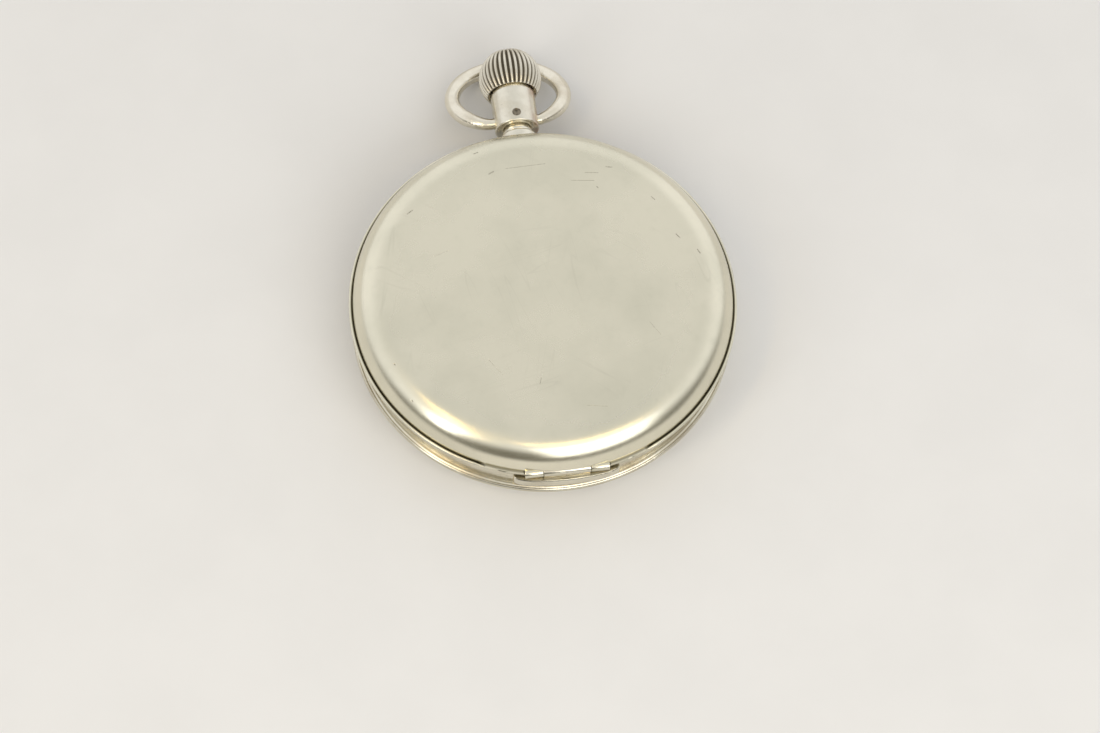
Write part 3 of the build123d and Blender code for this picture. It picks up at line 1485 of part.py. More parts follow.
with BuildPart() as column_wheel_screw:
    screw(
        column_place, column_inner - arbor_play, small_head_height, column_bore - arbor_play,
        works_bottom + lever_thickness + fit_clearance, bridge_top, slot_turn,
    )
    bar(column_place, small_screw_radius, barrel_bridge_bottom, bridge_top)
save("column_wheel_screw", column_wheel_screw)

# Operating lever: the stem's collar pushes its tab
with BuildPart() as operating_lever:
    tab_middle = stem_collar_start - operating_tab_play - operating_tab_thickness / 2
    with BuildSketch(Plane.XY.offset(works_bottom)):
        arm(operating_place, (operating_tab_middle, tab_middle), operating_half, operating_half)
        arm(operating_place, operating_hook, operating_half, operating_hook_half)
        with Locations(operating_place):
            Circle(operating_boss)
            Circle(small_screw_radius + arbor_play, mode=Mode.SUBTRACT)
        with Locations((0, stem_collar_start - operating_tab_play)):
            Rectangle(movement_radius, movement_radius, align=(Align.CENTER, Align.MIN), mode=Mode.SUBTRACT)
    extrude(amount=lever_thickness)
    with BuildSketch(Plane.XY.offset(operating_tab_bottom)):
        with Locations((operating_tab_middle, tab_middle)):
            Rectangle(operating_tab_width, operating_tab_thickness)
    extrude(amount=works_bottom - operating_tab_bottom + fit_clearance)
save("operating_lever", operating_lever)

# Reset hammer with two faces, one for each heart cam
hammer_face_seconds = seconds_place[0] - seconds_heart_radius - hammer_gap_seconds
hammer_face_minute = minute_place[0] - minute_heart_radius - hammer_gap_minute
with BuildPart() as reset_hammer:
    with BuildSketch(Plane.XY.offset(upper_works_bottom)):
        arm(hammer_place, hammer_foot, hammer_half, hammer_half)
        for face, place in ((hammer_face_seconds, seconds_place), (hammer_face_minute, minute_place)):
            with Locations((face, place[1])):
                Rectangle(
                    face - hammer_foot[0], hammer_face_height - hammer_head_depth,
                    align=(Align.MAX, Align.CENTER),
                )
                Rectangle(hammer_head_depth, hammer_face_height, align=(Align.MAX, Align.CENTER))
        nose_tip = from_point(
            column_place, column_outer + hammer_nose_gap + nose_half, line_angle(column_place, hammer_place)
        )
        arm(hammer_place, nose_tip, hammer_half, nose_half)
        with Locations(hammer_place):
            Circle(hammer_boss)
            Circle(small_screw_radius + arbor_play, mode=Mode.SUBTRACT)
    extrude(amount=upper_works_thickness)
save("reset_hammer", reset_hammer)

# Brake lever whose pad stops the balance
with BuildPart() as brake_lever:
    rim_reach = balance_rim_outer + balance_screw_length
    pad_place = from_point(balance_place, rim_reach + brake_pad_from_rim + brake_pad_radius, brake_tip_angle)
    with BuildSketch(Plane.XY.offset(upper_works_bottom)):
        arm(brake_place, pad_place, brake_half, brake_pad_radius)
        brake_nose = from_point(
            column_place, column_outer + hammer_nose_gap + nose_half, line_angle(column_place, brake_place)
        )
        arm(brake_place, brake_nose, brake_half, nose_half)
        with Locations(brake_place):
            Circle(brake_boss)
            Circle(small_screw_radius + arbor_play, mode=Mode.SUBTRACT)
    extrude(amount=upper_works_thickness)
    bar(pad_place, brake_pad_radius, brake_pad_bottom, upper_works_bottom + fit_clearance)
save("brake_lever", brake_lever)

# Jumper spring that holds the column wheel
with BuildPart() as column_jumper:
    with BuildSketch(Plane.XY.offset(works_bottom)):
        arm(jumper_place, jumper_bend, spring_half_width, spring_half_width)
        jumper_line = line_angle(column_place, jumper_bend)
        jumper_reach = column_ratchet_radius + jumper_gap + spring_half_width / 2
        jumper_tip = from_point(column_place, jumper_reach, jumper_line)
        arm(jumper_bend, jumper_tip, spring_half_width, spring_half_width / 2)
        with Locations(jumper_place):
            Circle(jumper_boss)
            Circle(small_screw_radius + arbor_play, mode=Mode.SUBTRACT)
    extrude(amount=lever_thickness)
    bar(jumper_place, jumper_boss, bridge_top, works_bottom + fit_clearance)
    bar(jumper_place, small_screw_radius + arbor_play, 0, cover_top, Mode.SUBTRACT)
save("column_jumper", column_jumper)

# Flat springs of the operating lever and the hammer, each on a riveted foot
with BuildPart() as lever_spring:
    with BuildSketch(Plane.XY.offset(works_bottom)):
        arm(lever_spring_place, lever_spring_tip, spring_half_width, spring_half_width)
    extrude(amount=lever_thickness)
    bar(lever_spring_place, spring_boss, bridge_top, works_bottom + lever_thickness)
save("lever_spring", lever_spring)

with BuildPart() as hammer_spring:
    with BuildSketch(Plane.XY.offset(upper_works_bottom)):
        arm(hammer_spring_place, hammer_spring_tip, spring_half_width, spring_half_width)
    extrude(amount=lever_thickness)
    bar(hammer_spring_place, spring_boss, bridge_top, upper_works_bottom + lever_thickness)
save("hammer_spring", hammer_spring)

# Shouldered screws that the levers turn on
with BuildPart() as lever_screws:
    lever_top = works_bottom + lever_thickness
    upper_top = upper_works_bottom + upper_works_thickness
    for number, (place, top, floor) in enumerate((
        (operating_place, lever_top, barrel_bridge_bottom),
        (jumper_place, lever_top, barrel_bridge_bottom),
        (hammer_place, upper_top, barrel_bridge_bottom),
        (brake_place, upper_top, bridge_bottom),
    )):
        screw(
            place, small_head_radius, small_head_height, small_screw_radius,
            top + fit_clearance, floor, slot_turn + number * slot_turn_step,
        )
save("lever_screws", lever_screws)
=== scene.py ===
"""Pocket stopwatch lying face down: its looks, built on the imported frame."""
import json
import math

import bmesh
import bpy
from mathutils import Matrix, Vector


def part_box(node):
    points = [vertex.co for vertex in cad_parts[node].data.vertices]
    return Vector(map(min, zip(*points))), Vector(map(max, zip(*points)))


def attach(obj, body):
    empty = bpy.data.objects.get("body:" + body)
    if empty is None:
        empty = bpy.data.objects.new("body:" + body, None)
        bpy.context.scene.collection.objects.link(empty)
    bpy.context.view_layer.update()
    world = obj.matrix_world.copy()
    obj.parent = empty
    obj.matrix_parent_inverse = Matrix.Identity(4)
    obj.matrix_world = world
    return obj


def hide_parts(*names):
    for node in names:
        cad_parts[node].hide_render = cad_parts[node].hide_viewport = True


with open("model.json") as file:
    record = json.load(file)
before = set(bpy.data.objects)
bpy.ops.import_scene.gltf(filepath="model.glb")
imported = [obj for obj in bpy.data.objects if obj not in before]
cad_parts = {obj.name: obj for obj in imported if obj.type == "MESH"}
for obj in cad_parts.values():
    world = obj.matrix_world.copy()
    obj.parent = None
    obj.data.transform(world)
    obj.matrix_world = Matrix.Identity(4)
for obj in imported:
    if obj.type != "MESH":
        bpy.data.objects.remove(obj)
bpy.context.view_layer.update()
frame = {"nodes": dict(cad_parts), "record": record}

MM = 0.001
TURN = 2 * math.pi
RIM_STEPS = 360
SMALL_STEPS = 96
STEM_HEIGHT = 7.0
slots = {row["node"]: row["material_slot"] for row in frame["record"]["subparts"]}


# ---------------------------------------------------------------- node trees

def add(tree, kind, inputs=None, **settings):
    """Adds a node, with its settings made and its inputs filled or linked."""
    node = tree.nodes.new(kind)
    for name, value in settings.items():
        setattr(node, name, value)
    for key, value in (inputs or {}).items():
        if isinstance(value, bpy.types.NodeSocket):
            tree.links.new(value, node.inputs[key])
        else:
            node.inputs[key].default_value = value
    return node


def maths(tree, operation, first, second=None, clamp=False):
    """The result of a Math node."""
    inputs = {0: first}
    if second is not None:
        inputs[1] = second
    return add(tree, "ShaderNodeMath", inputs, operation=operation, use_clamp=clamp).outputs[0]


def vectors(tree, operation, first, second=None, output=0):
    """The result of a Vector Math node."""
    inputs = {0: first}
    if second is not None:
        inputs["Scale" if operation == "SCALE" else 1] = second
    return add(tree, "ShaderNodeVectorMath", inputs, operation=operation).outputs[output]


def graded(tree, value, low, high, start=0.0, end=1.0):
    """A value taken smoothly from start to end as another goes from low to high."""
    inputs = {"Value": value, "From Min": low, "From Max": high, "To Min": start, "To Max": end}
    return add(tree, "ShaderNodeMapRange", inputs, interpolation_type="SMOOTHSTEP").outputs["Result"]


def mixed(tree, share, first, second):
    """One colour laid over another by a share."""
    node = add(tree, "ShaderNodeMix", {0: share, 6: first, 7: second}, data_type="RGBA")
    return node.outputs[2]


def noise(tree, position, scale, detail=3.0, roughness=0.55):
    """A noise value at a scale, in features to the metre."""
    inputs = {"Vector": position, "Scale": scale, "Detail": detail, "Roughness": roughness}
    return add(tree, "ShaderNodeTexNoise", inputs).outputs["Fac"]


def weighed(tree, broad, fine):
    """Four parts of a broad pattern to one of a fine one."""
    return maths(tree, "ADD", maths(tree, "MULTIPLY", broad, 0.8), maths(tree, "MULTIPLY", fine, 0.2))


def shader_group(name, inputs, outputs):
    """A new shader node group with its sockets and its ends."""
    tree = bpy.data.node_groups.new(name, "ShaderNodeTree")
    for label, kind, value in inputs:
        socket = tree.interface.new_socket(label, in_out="INPUT", socket_type="NodeSocket" + kind)
        socket.default_value = value
    for label, kind in outputs:
        tree.interface.new_socket(label, in_out="OUTPUT", socket_type="NodeSocket" + kind)
    return tree, add(tree, "NodeGroupInput").outputs, add(tree, "NodeGroupOutput")


def place(tree, group, inputs):
    """A node group set into a tree, with its own values."""
    return add(tree, "ShaderNodeGroup", inputs, node_tree=group).outputs


def tint(red, green, blue):
    """A colour at full alpha."""
    return (red, green, blue, 1.0)


def build_tarnish():
    """Cloudy tarnish on metal: colour, roughness and a faint unevenness."""
    tree, given, result = shader_group(
        "tarnish",
        [("Position", "Vector", (0, 0, 0)), ("Metal", "Color", tint(0.7, 0.7, 0.7)),
         ("Stain", "Color", tint(0.3, 0.25, 0.18)), ("Stain Share", "Float", 0.2),
         ("Clouds", "Float", 250.0), ("Smooth", "Float", 0.2), ("Rough", "Float", 0.4)],
        [("Colour", "Color"), ("Roughness", "Float"), ("Height", "Float")],
    )
    clouds = noise(tree, given["Position"], given["Clouds"], 4.0)
    fine = noise(tree, given["Position"], maths(tree, "MULTIPLY", given["Clouds"], 9.0), 3.0, 0.6)
    soft = graded(tree, clouds, 0.35, 0.72)
    specks = graded(tree, fine, 0.48, 0.8)
    share = weighed(tree, soft, specks)
    share = maths(tree, "MULTIPLY", share, given["Stain Share"], clamp=True)
    colour = mixed(tree, share, given["Metal"], given["Stain"])
    spread = maths(tree, "SUBTRACT", given["Rough"], given["Smooth"])
    wear = graded(tree, weighed(tree, clouds, fine), 0.3, 0.7)
    roughness = maths(tree, "ADD", given["Smooth"], maths(tree, "MULTIPLY", wear, spread))
    tree.links.new(colour, result.inputs["Colour"])
    tree.links.new(roughness, result.inputs["Roughness"])
    tree.links.new(fine, result.inputs["Height"])
    return tree


HAIRLINE_WAYS = ((0.25, 26.0), (1.35, 18.0), (2.2, 30.0), (2.9, 14.0))  # angle, and how drawn out


def build_hairlines():
    """Fine scratches in several directions, as handling leaves them."""
    tree, given, result = shader_group(
        "hairlines",
        [("Position", "Vector", (0, 0, 0)), ("Spacing", "Float", 700.0), ("Fineness", "Float", 0.02)],
        [("Lines", "Float")],
    )
    total = None
    for number, (angle, stretch) in enumerate(HAIRLINE_WAYS):
        turned = add(tree, "ShaderNodeMapping", {
            "Vector": given["Position"], "Rotation": (0.0, 0.0, angle), "Location": (0.3 * number, 0.1, 0.2),
        }).outputs[0]
        stretched = vectors(tree, "MULTIPLY", turned, (1.0, 1.0 / stretch, 1.0))
        waves = noise(tree, stretched, given["Spacing"], 1.0, 0.4)
        off = maths(tree, "ABSOLUTE", maths(tree, "SUBTRACT", waves, 0.5))
        line = maths(tree, "SUBTRACT", 1.0, maths(tree, "DIVIDE", off, given["Fineness"]), clamp=True)
        wide = maths(tree, "MULTIPLY", given["Spacing"], 0.22)
        patches = graded(tree, noise(tree, turned, wide, 1.0), 0.5, 0.68)
        line = maths(tree, "MULTIPLY", line, patches)
        total = line if total is None else maths(tree, "MAXIMUM", total, line)
    tree.links.new(total, result.inputs["Lines"])
    return tree


def build_stripes():
    """Parallel decorative stripes across the bridges: a shallow trough to each."""
    tree, given, result = shader_group(
        "stripes",
        [("Position", "Vector", (0, 0, 0)), ("Angle", "Float", 0.6), ("Pitch", "Float", 0.0016)],
        [("Height", "Float"), ("Shade", "Float")],
    )
    turned = add(tree, "ShaderNodeVectorRotate", {"Vector": given["Position"], "Angle": given["Angle"]},
                 rotation_type="Z_AXIS").outputs[0]
    across = add(tree, "ShaderNodeSeparateXYZ", {0: turned}).outputs
    phase = maths(tree, "FRACT", maths(tree, "DIVIDE", across["X"], given["Pitch"]))
    from_middle = maths(tree, "SUBTRACT", phase, 0.5)
    trough = maths(tree, "MULTIPLY", maths(tree, "MULTIPLY", from_middle, from_middle), 4.0)
    squeezed = maths(tree, "MULTIPLY", across["X"], 30.0)
    streaks = add(tree, "ShaderNodeCombineXYZ", {0: squeezed, 1: across["Y"]})
    brushed = noise(tree, streaks.outputs[0], 900.0, 2.0)
    height = maths(tree, "ADD", trough, maths(tree, "MULTIPLY", brushed, 0.12))
    tree.links.new(height, result.inputs["Height"])
    tree.links.new(phase, result.inputs["Shade"])
    return tree


def build_sun_grain():
    """Graining that runs round or out from a wheel's own middle."""
    tree, given, result = shader_group(
        "sun grain",
        [("Position", "Vector", (0, 0, 0)), ("Middle", "Vector", (0, 0, 0)), ("Rays", "Float", 60.0),
         ("Rings", "Float", 200.0)],
        [("Height", "Float")],
    )
    out = vectors(tree, "SUBTRACT", given["Position"], given["Middle"])
    parts = add(tree, "ShaderNodeSeparateXYZ", {0: out}).outputs
    angle = maths(tree, "ARCTAN2", parts["Y"], parts["X"])
    flat = add(tree, "ShaderNodeCombineXYZ", {0: parts["X"], 1: parts["Y"]}).outputs[0]
    reach = vectors(tree, "LENGTH", flat, output=1)
    polar = add(tree, "ShaderNodeCombineXYZ", {
        0: maths(tree, "MULTIPLY", angle, given["Rays"]), 1: maths(tree, "MULTIPLY", reach, given["Rings"]),
    }).outputs[0]
    tree.links.new(noise(tree, polar, 1.0, 2.0, 0.6), result.inputs["Height"])
    return tree


NICKS = (  # start, end and half width in mm, on the back cover
    ((-5.2, 17.8), (-4.6, 18.1), 0.16), ((-2.96, 18.38), (2.51, 18.56), 0.05),
    ((10.7, 17.2), (11.4, 17.05), 0.14), ((7.71, 16.56), (9.45, 16.37), 0.07),
    ((5.66, 15.54), (8.75, 15.19), 0.05), ((16.1, 11.9), (16.5, 11.4), 0.12),
    ((18.6, 5.8), (19.0, 5.2), 0.12), ((21.1, 3.2), (21.4, 2.6), 0.12),
    ((-2.35, -14.5), (-2.05, -13.6), 0.06), ((-20.9, -9.1), (-20.8, -9.3), 0.1),
    ((-19.2, -14.3), (-19.1, -14.5), 0.09), ((13.2, -7.0), (14.4, -9.0), 0.03),
    ((-6.9, 21.3), (-6.3, 21.5), 0.12), ((-16.8, 12.9), (-16.1, 13.4), 0.13),
    ((9.0, 14.2), (9.15, 14.0), 0.1), ((-14.0, 6.0), (-12.0, 6.6), 0.03),
    ((3.4, -18.2), (6.0, -18.6), 0.035), ((-8.6, -10.2), (-7.0, -12.6), 0.03),
)


def build_marks():
    """Nicks and short scratches at their places on the back cover."""
    tree, given, result = shader_group(
        "nick marks", [("Position", "Vector", (0, 0, 0))], [("Marks", "Float")],
    )
    flat = vectors(tree, "MULTIPLY", given["Position"], (1.0, 1.0, 0.0))
    total = None
    for start, end, width in NICKS:
        a = Vector((start[0], start[1], 0)) * MM
        run = Vector((end[0], end[1], 0)) * MM - a
        from_start = vectors(tree, "SUBTRACT", flat, tuple(a))
        reached = vectors(tree, "DOT_PRODUCT", from_start, tuple(run), 1)
        along = maths(tree, "DIVIDE", reached, run.length_squared, clamp=True)
        nearest = vectors(tree, "SCALE", tuple(run), along)
        off = vectors(tree, "DISTANCE", from_start, nearest, 1)
        mark = maths(tree, "SUBTRACT", 1.0, maths(tree, "DIVIDE", off, width * MM), clamp=True)
        total = mark if total is None else maths(tree, "MAXIMUM", total, mark)
    ragged = graded(tree, noise(tree, given["Position"], 4000.0, 2.0), 0.35, 0.55, 0.35, 1.0)
    tree.links.new(maths(tree, "MULTIPLY", total, ragged), result.inputs["Marks"])
    return tree


TARNISH = build_tarnish()
HAIRLINES = build_hairlines()
STRIPES = build_stripes()
SUN_GRAIN = build_sun_grain()
MARKS = build_marks()


# ---------------------------------------------------------------- materials

RELIEF = 0.00001  # a bump's height in metres


def new_material(name):
    """A material with its tree, its Principled shader and the object's coordinates."""
    material = bpy.data.materials.new(name)
    material.use_nodes = True
    tree = material.node_tree
    tree.nodes.clear()
    shader = add(tree, "ShaderNodeBsdfPrincipled")
    output = add(tree, "ShaderNodeOutputMaterial")
    tree.links.new(shader.outputs[0], output.inputs["Surface"])
    position = add(tree, "ShaderNodeTexCoord").outputs["Object"]
    return material, tree, shader, position


def bump(tree, shader, height, distance=RELIEF):
    """A bump on the shader."""
    node = add(tree, "ShaderNodeBump", {"Height": height, "Distance": distance, "Strength": 1.0})
    tree.links.new(node.outputs[0], shader.inputs["Normal"])


def dress(tree, shader, colour, roughness, metallic=1.0):
    """Links a colour and a roughness to the shader and sets how metallic it is."""
    tree.links.new(colour, shader.inputs["Base Color"])
    tree.links.new(roughness, shader.inputs["Roughness"])
    shader.inputs["Metallic"].default_value = metallic


def tarnished(tree, position, colour, stain, share, clouds, smooth, rough):
    """The tarnish group set into a material: its colour, roughness and height."""
    return place(tree, TARNISH, {
        "Position": position, "Metal": tint(*colour), "Stain": tint(*stain), "Stain Share": share,
        "Clouds": clouds, "Smooth": smooth, "Rough": rough,
    })


def metal(name, colour, stain, stain_share, clouds, smooth, rough, uneven=0.0, lines=0.0, spacing=900.0):
    """A worn metal with tarnish, uneven gloss and handling scratches."""
    material, tree, shader, position = new_material(name)
    worn = tarnished(tree, position, colour, stain, stain_share, clouds, smooth, rough)
    dress(tree, shader, worn["Colour"], worn["Roughness"])
    height = maths(tree, "MULTIPLY", worn["Height"], uneven)
    if lines:
        scratches = place(tree, HAIRLINES, {"Position": position, "Spacing": spacing})
        height = maths(tree, "SUBTRACT", height, maths(tree, "MULTIPLY", scratches["Lines"], lines))
    if lines or uneven:
        bump(tree, shader, height)
    return material


def silver_cover():
    """Nickel silver of the back cover: satin in the middle, handled bright round the shoulder, with painted
    shade by the bead and above the hinge.
    """
    material, tree, shader, position = new_material("case_silver_back")
    flat = vectors(tree, "MULTIPLY", position, (1.0, 1.0, 0.0))
    reach = vectors(tree, "LENGTH", flat, output=1)
    shoulder = graded(tree, reach, 0.0185, 0.0225)
    side = add(tree, "ShaderNodeSeparateXYZ", {0: position}).outputs
    low = graded(tree, side["Z"], 0.0098, 0.0091)
    rim_in, rim_out = graded(tree, reach, 0.0253, 0.02548), graded(tree, reach, 0.02575, 0.0257)
    hinge_side, hinge_low = graded(tree, side["Y"], -0.0236, -0.0246), graded(tree, side["Z"], 0.0094, 0.009)
    hinge = maths(tree, "MULTIPLY", maths(tree, "MULTIPLY", hinge_side, hinge_low), 0.6)
    # painted shade: this mask darkens the groove inside the bead and the low wall beside it, partly the real
    # patina in that hollow and partly painted shade with a painted dark reflection, and it darkens the cover
    # just above the hinge knuckles as painted shade between the parts
    rim_patina_and_hinge_shade = maths(tree, "MAXIMUM", maths(tree, "MULTIPLY", rim_in, rim_out), hinge)
    groove = maths(tree, "MULTIPLY", low, rim_patina_and_hinge_shade)
    worn = tarnished(
        tree, position, (0.8, 0.76, 0.62), (0.64, 0.62, 0.5), share=0.75, clouds=70.0, smooth=0.25, rough=0.33,
    )
    scratches = place(tree, HAIRLINES, {"Position": position, "Spacing": 420.0, "Fineness": 0.009})["Lines"]
    marks = place(tree, MARKS, {"Position": position})["Marks"]
    cover_colour = mixed(tree, maths(tree, "MULTIPLY", marks, 0.8), worn["Colour"], tint(0.16, 0.14, 0.1))
    cover_colour = mixed(tree, maths(tree, "MULTIPLY", scratches, 0.12), cover_colour, tint(0.45, 0.42, 0.34))
    # painted shade in the groove by the bead and above the hinge, together with the groove's patina
    cover_colour = mixed(tree, maths(tree, "MULTIPLY", groove, 0.5), cover_colour, tint(0.12, 0.1, 0.06))
    polished = maths(tree, "MULTIPLY", shoulder, 0.05)
    roughness = maths(tree, "SUBTRACT", worn["Roughness"], polished)
    roughness = maths(tree, "ADD", roughness, maths(tree, "MULTIPLY", marks, 0.2))
    dress(tree, shader, cover_colour, roughness)
    pits = graded(tree, noise(tree, position, 1300.0, 1.0, 0.4), 0.76, 0.82)
    height = maths(tree, "MULTIPLY", noise(tree, position, 90.0, 2.0), 0.5)
    for mask, depth in ((scratches, 0.25), (marks, 2.0), (pits, 0.25)):
        height = maths(tree, "SUBTRACT", height, maths(tree, "MULTIPLY", mask, depth))
    bump(tree, shader, height)
    return material


def silver_crown():
    """The crown's silver: bright ridges and dark patina down in the flutes."""
    material, tree, shader, position = new_material("crown_silver_fluted")
    groove = add(tree, "ShaderNodeAttribute", attribute_name="groove").outputs["Fac"]
    worn = tarnished(
        tree, position, (0.74, 0.7, 0.6), (0.5, 0.44, 0.33), share=0.5, clouds=500.0, smooth=0.2, rough=0.34,
    )
    dark = graded(tree, groove, 0.25, 0.7)
    colour = mixed(tree, maths(tree, "MULTIPLY", dark, 0.8), worn["Colour"], tint(0.1, 0.08, 0.05))
    roughness = maths(tree, "ADD", worn["Roughness"], maths(tree, "MULTIPLY", dark, 0.3))
    dress(tree, shader, colour, roughness)
    bump(tree, shader, worn["Height"])
    return material


def silver_pendant():
    """The pendant's silver, with reddish tarnish down one side."""
    material, tree, shader, position = new_material("pendant_silver_worn")
    worn = tarnished(
        tree, position, (0.79, 0.755, 0.65), (0.57, 0.5, 0.38),
        share=0.5, clouds=350.0, smooth=0.16, rough=0.28,
    )
    across = add(tree, "ShaderNodeSeparateXYZ", {0: position}).outputs["X"]
    inward, outward = graded(tree, across, 0.0016, 0.0029), graded(tree, across, 0.0033, 0.0031)
    side = maths(tree, "MULTIPLY", inward, outward)
    patches = graded(tree, noise(tree, position, 600.0, 3.0), 0.4, 0.6)
    red = maths(tree, "MULTIPLY", maths(tree, "MULTIPLY", side, patches), 0.55)
    dress(tree, shader, mixed(tree, red, worn["Colour"], tint(0.42, 0.2, 0.12)), worn["Roughness"])
    scratches = place(tree, HAIRLINES, {"Position": position, "Spacing": 1400.0})["Lines"]
    bump(tree, shader, maths(tree, "SUBTRACT", worn["Height"], maths(tree, "MULTIPLY", scratches, 0.6)))
    return material


def striped_nickel(name, angle, colour, relief):
    """Nickel of the bridges, with its stripes."""
    material, tree, shader, position = new_material(name)
    stripes = place(tree, STRIPES, {"Position": position, "Angle": angle, "Pitch": 0.0017})
    worn = tarnished(
        tree, position, colour, (0.6, 0.56, 0.47), share=0.35, clouds=220.0, smooth=0.16, rough=0.26,
    )
    shade = graded(tree, stripes["Shade"], 0.0, 1.0, 0.0, 0.3)
    dress(tree, shader, mixed(tree, shade, worn["Colour"], tint(0.52, 0.5, 0.44)), worn["Roughness"])
    bump(tree, shader, stripes["Height"], relief)
    return material


def sun_grained(name, colour, middle, rays, rings):
    """A wheel with graining about its own middle."""
    material, tree, shader, position = new_material(name)
    grain = place(tree, SUN_GRAIN, {
        "Position": position, "Middle": (middle[0] * MM, middle[1] * MM, 0.0), "Rays": rays, "Rings": rings,
    })["Height"]
    worn = tarnished(
        tree, position, colour, [0.7 * part for part in colour],
        share=0.3, clouds=400.0, smooth=0.18, rough=0.28,
    )
    dress(tree, shader, worn["Colour"], worn["Roughness"])
    bump(tree, shader, grain)
    return material


def enamel():
    """White fired enamel of the dial, with a trace of unevenness."""
    material, tree, shader, position = new_material("dial_enamel_white")
    clouds = noise(tree, position, 120.0, 3.0)
    specks = graded(tree, noise(tree, position, 2600.0, 1.0), 0.74, 0.78)
    colour = mixed(tree, graded(tree, clouds, 0.3, 0.7), tint(0.83, 0.81, 0.76), tint(0.87, 0.86, 0.82))
    colour = mixed(tree, maths(tree, "MULTIPLY", specks, 0.25), colour, tint(0.5, 0.45, 0.38))
    dress(tree, shader, colour, graded(tree, clouds, 0.3, 0.7, 0.16, 0.24), metallic=0.0)
    shader.inputs["Coat Weight"].default_value = 0.5
    shader.inputs["Coat Roughness"].default_value = 0.06
    bump(tree, shader, clouds, 0.00003)
    return material


def ruby():
    """Ruby of the jewels."""
    material, tree, shader, position = new_material("jewel_ruby_red")
    depth = graded(tree, noise(tree, position, 3000.0, 2.0), 0.3, 0.7)
    colour = mixed(tree, depth, tint(0.42, 0.01, 0.04), tint(0.62, 0.03, 0.09))
    dress(tree, shader, colour, graded(tree, depth, 0.0, 1.0, 0.04, 0.09), metallic=0.0)
    shader.inputs["IOR"].default_value = 1.76
    shader.inputs["Transmission Weight"].default_value = 0.35
    return material


def clear_glass():
    """The watch glass, with the faint haze that handling leaves."""
    material, tree, shader, position = new_material("glass_clear")
    shader.inputs["Base Color"].default_value = tint(0.99, 1.0, 0.99)
    shader.inputs["IOR"].default_value = 1.5
    shader.inputs["Transmission Weight"].default_value = 1.0
    scratches = place(tree, HAIRLINES, {"Position": position, "Spacing": 500.0, "Fineness": 0.006})["Lines"]
    tree.links.new(maths(tree, "MULTIPLY", scratches, 0.12), shader.inputs["Roughness"])
    return material


def print_ink():
    """Black printing on the dial, a little uneven."""
    material, tree, shader, position = new_material("dial_print_black")
    cloud = graded(tree, noise(tree, position, 2500.0, 3.0), 0.3, 0.7)
    colour = mixed(tree, cloud, tint(0.012, 0.012, 0.014), tint(0.03, 0.028, 0.026))
    dress(tree, shader, colour, graded(tree, cloud, 0.0, 1.0, 0.35, 0.5), metallic=0.0)
    return material


NICKEL = (0.7, 0.675, 0.6)
STEEL = (0.6, 0.6, 0.6)
BRASS = (0.78, 0.56, 0.25)
BLUE = (0.035, 0.06, 0.2)
BARREL_MIDDLE = (8.37, 10.2)
CROWN_WHEEL_MIDDLE = (0.0, 15.487)
# colour, stain, stain share, clouds, smooth, rough, unevenness, scratches and their spacing
METALS = {
    "case_silver": ((0.72, 0.685, 0.575), (0.4, 0.34, 0.24), 0.5, 160.0, 0.15, 0.28, 0.6, 0.8),
    "bow_silver": ((0.82, 0.775, 0.66), (0.55, 0.47, 0.34), 0.45, 350.0, 0.14, 0.28, 0.8, 0.7, 1400.0),
    "screw_steel": ((0.62, 0.61, 0.6), (0.35, 0.3, 0.25), 0.3, 900.0, 0.1, 0.22, 0.3, 0.6, 2500.0),
    "lever_steel": (STEEL, (0.4, 0.38, 0.34), 0.3, 600.0, 0.2, 0.32, 0.4, 0.9, 2600.0),
    "arbor_steel": ((0.64, 0.64, 0.64), (0.4, 0.38, 0.34), 0.2, 900.0, 0.1, 0.2, 0.3),
    "spring_steel": (BLUE, (0.09, 0.05, 0.14), 0.4, 500.0, 0.16, 0.28, 0.3),
    "hand_steel": (BLUE, (0.06, 0.04, 0.13), 0.4, 500.0, 0.14, 0.24, 0.3),
    "plate_nickel": (NICKEL, (0.55, 0.5, 0.4), 0.4, 300.0, 0.22, 0.34, 0.8, 0.5, 1500.0),
    "wheel_brass": (BRASS, (0.5, 0.3, 0.12), 0.35, 500.0, 0.16, 0.3, 0.4, 0.5, 2200.0),
    # the set screw is near-black, partly its own dark steel and partly painted shade of the bore that it sits
    # down in
    "set_screw": ((0.3, 0.26, 0.2), (0.05, 0.04, 0.025), 0.9, 2200.0, 0.25, 0.45, 0.6),
}
finishes = {name: metal(name, *values) for name, values in METALS.items()}
finishes.update({
    "case_silver_back": silver_cover(),
    "pendant_silver": silver_pendant(),
    "crown_silver": silver_crown(),
    "jewel_ruby": ruby(),
    "glass": clear_glass(),
    "dial_enamel": enamel(),
    "bridge_nickel": striped_nickel("bridge_nickel_striped", 0.62, NICKEL, 0.00004),
    "dial_print": print_ink(),
    "ratchet_grain": sun_grained("ratchet_sun_grained", STEEL, BARREL_MIDDLE, 26.0, 500.0),
    "crown_wheel_grain": sun_grained("crown_wheel_sun_grained", STEEL, CROWN_WHEEL_MIDDLE, 26.0, 500.0),
    "barrel_grain": sun_grained("barrel_ring_grained", BRASS, BARREL_MIDDLE, 4.0, 9000.0),
})
own_finish = {
    "pendant_screw": "set_screw",
    "barrel_bridge": "bridge_nickel", "train_bridge": "bridge_nickel", "balance_cock": "bridge_nickel",
    "ratchet_wheel": "ratchet_grain", "crown_wheel": "crown_wheel_grain", "barrel_lid": "barrel_grain",
    "mainspring_barrel": "barrel_grain",
}
for node, thing in frame["nodes"].items():
    thing.data.materials.clear()
    thing.data.materials.append(finishes[own_finish.get(node, slots[node])])


# ---------------------------------------------------------------- shapes

def new_object(name, data):
    """An object in the scene, at the origin."""
    thing = bpy.data.objects.new(name, data)
    bpy.context.scene.collection.objects.link(thing)
    return thing


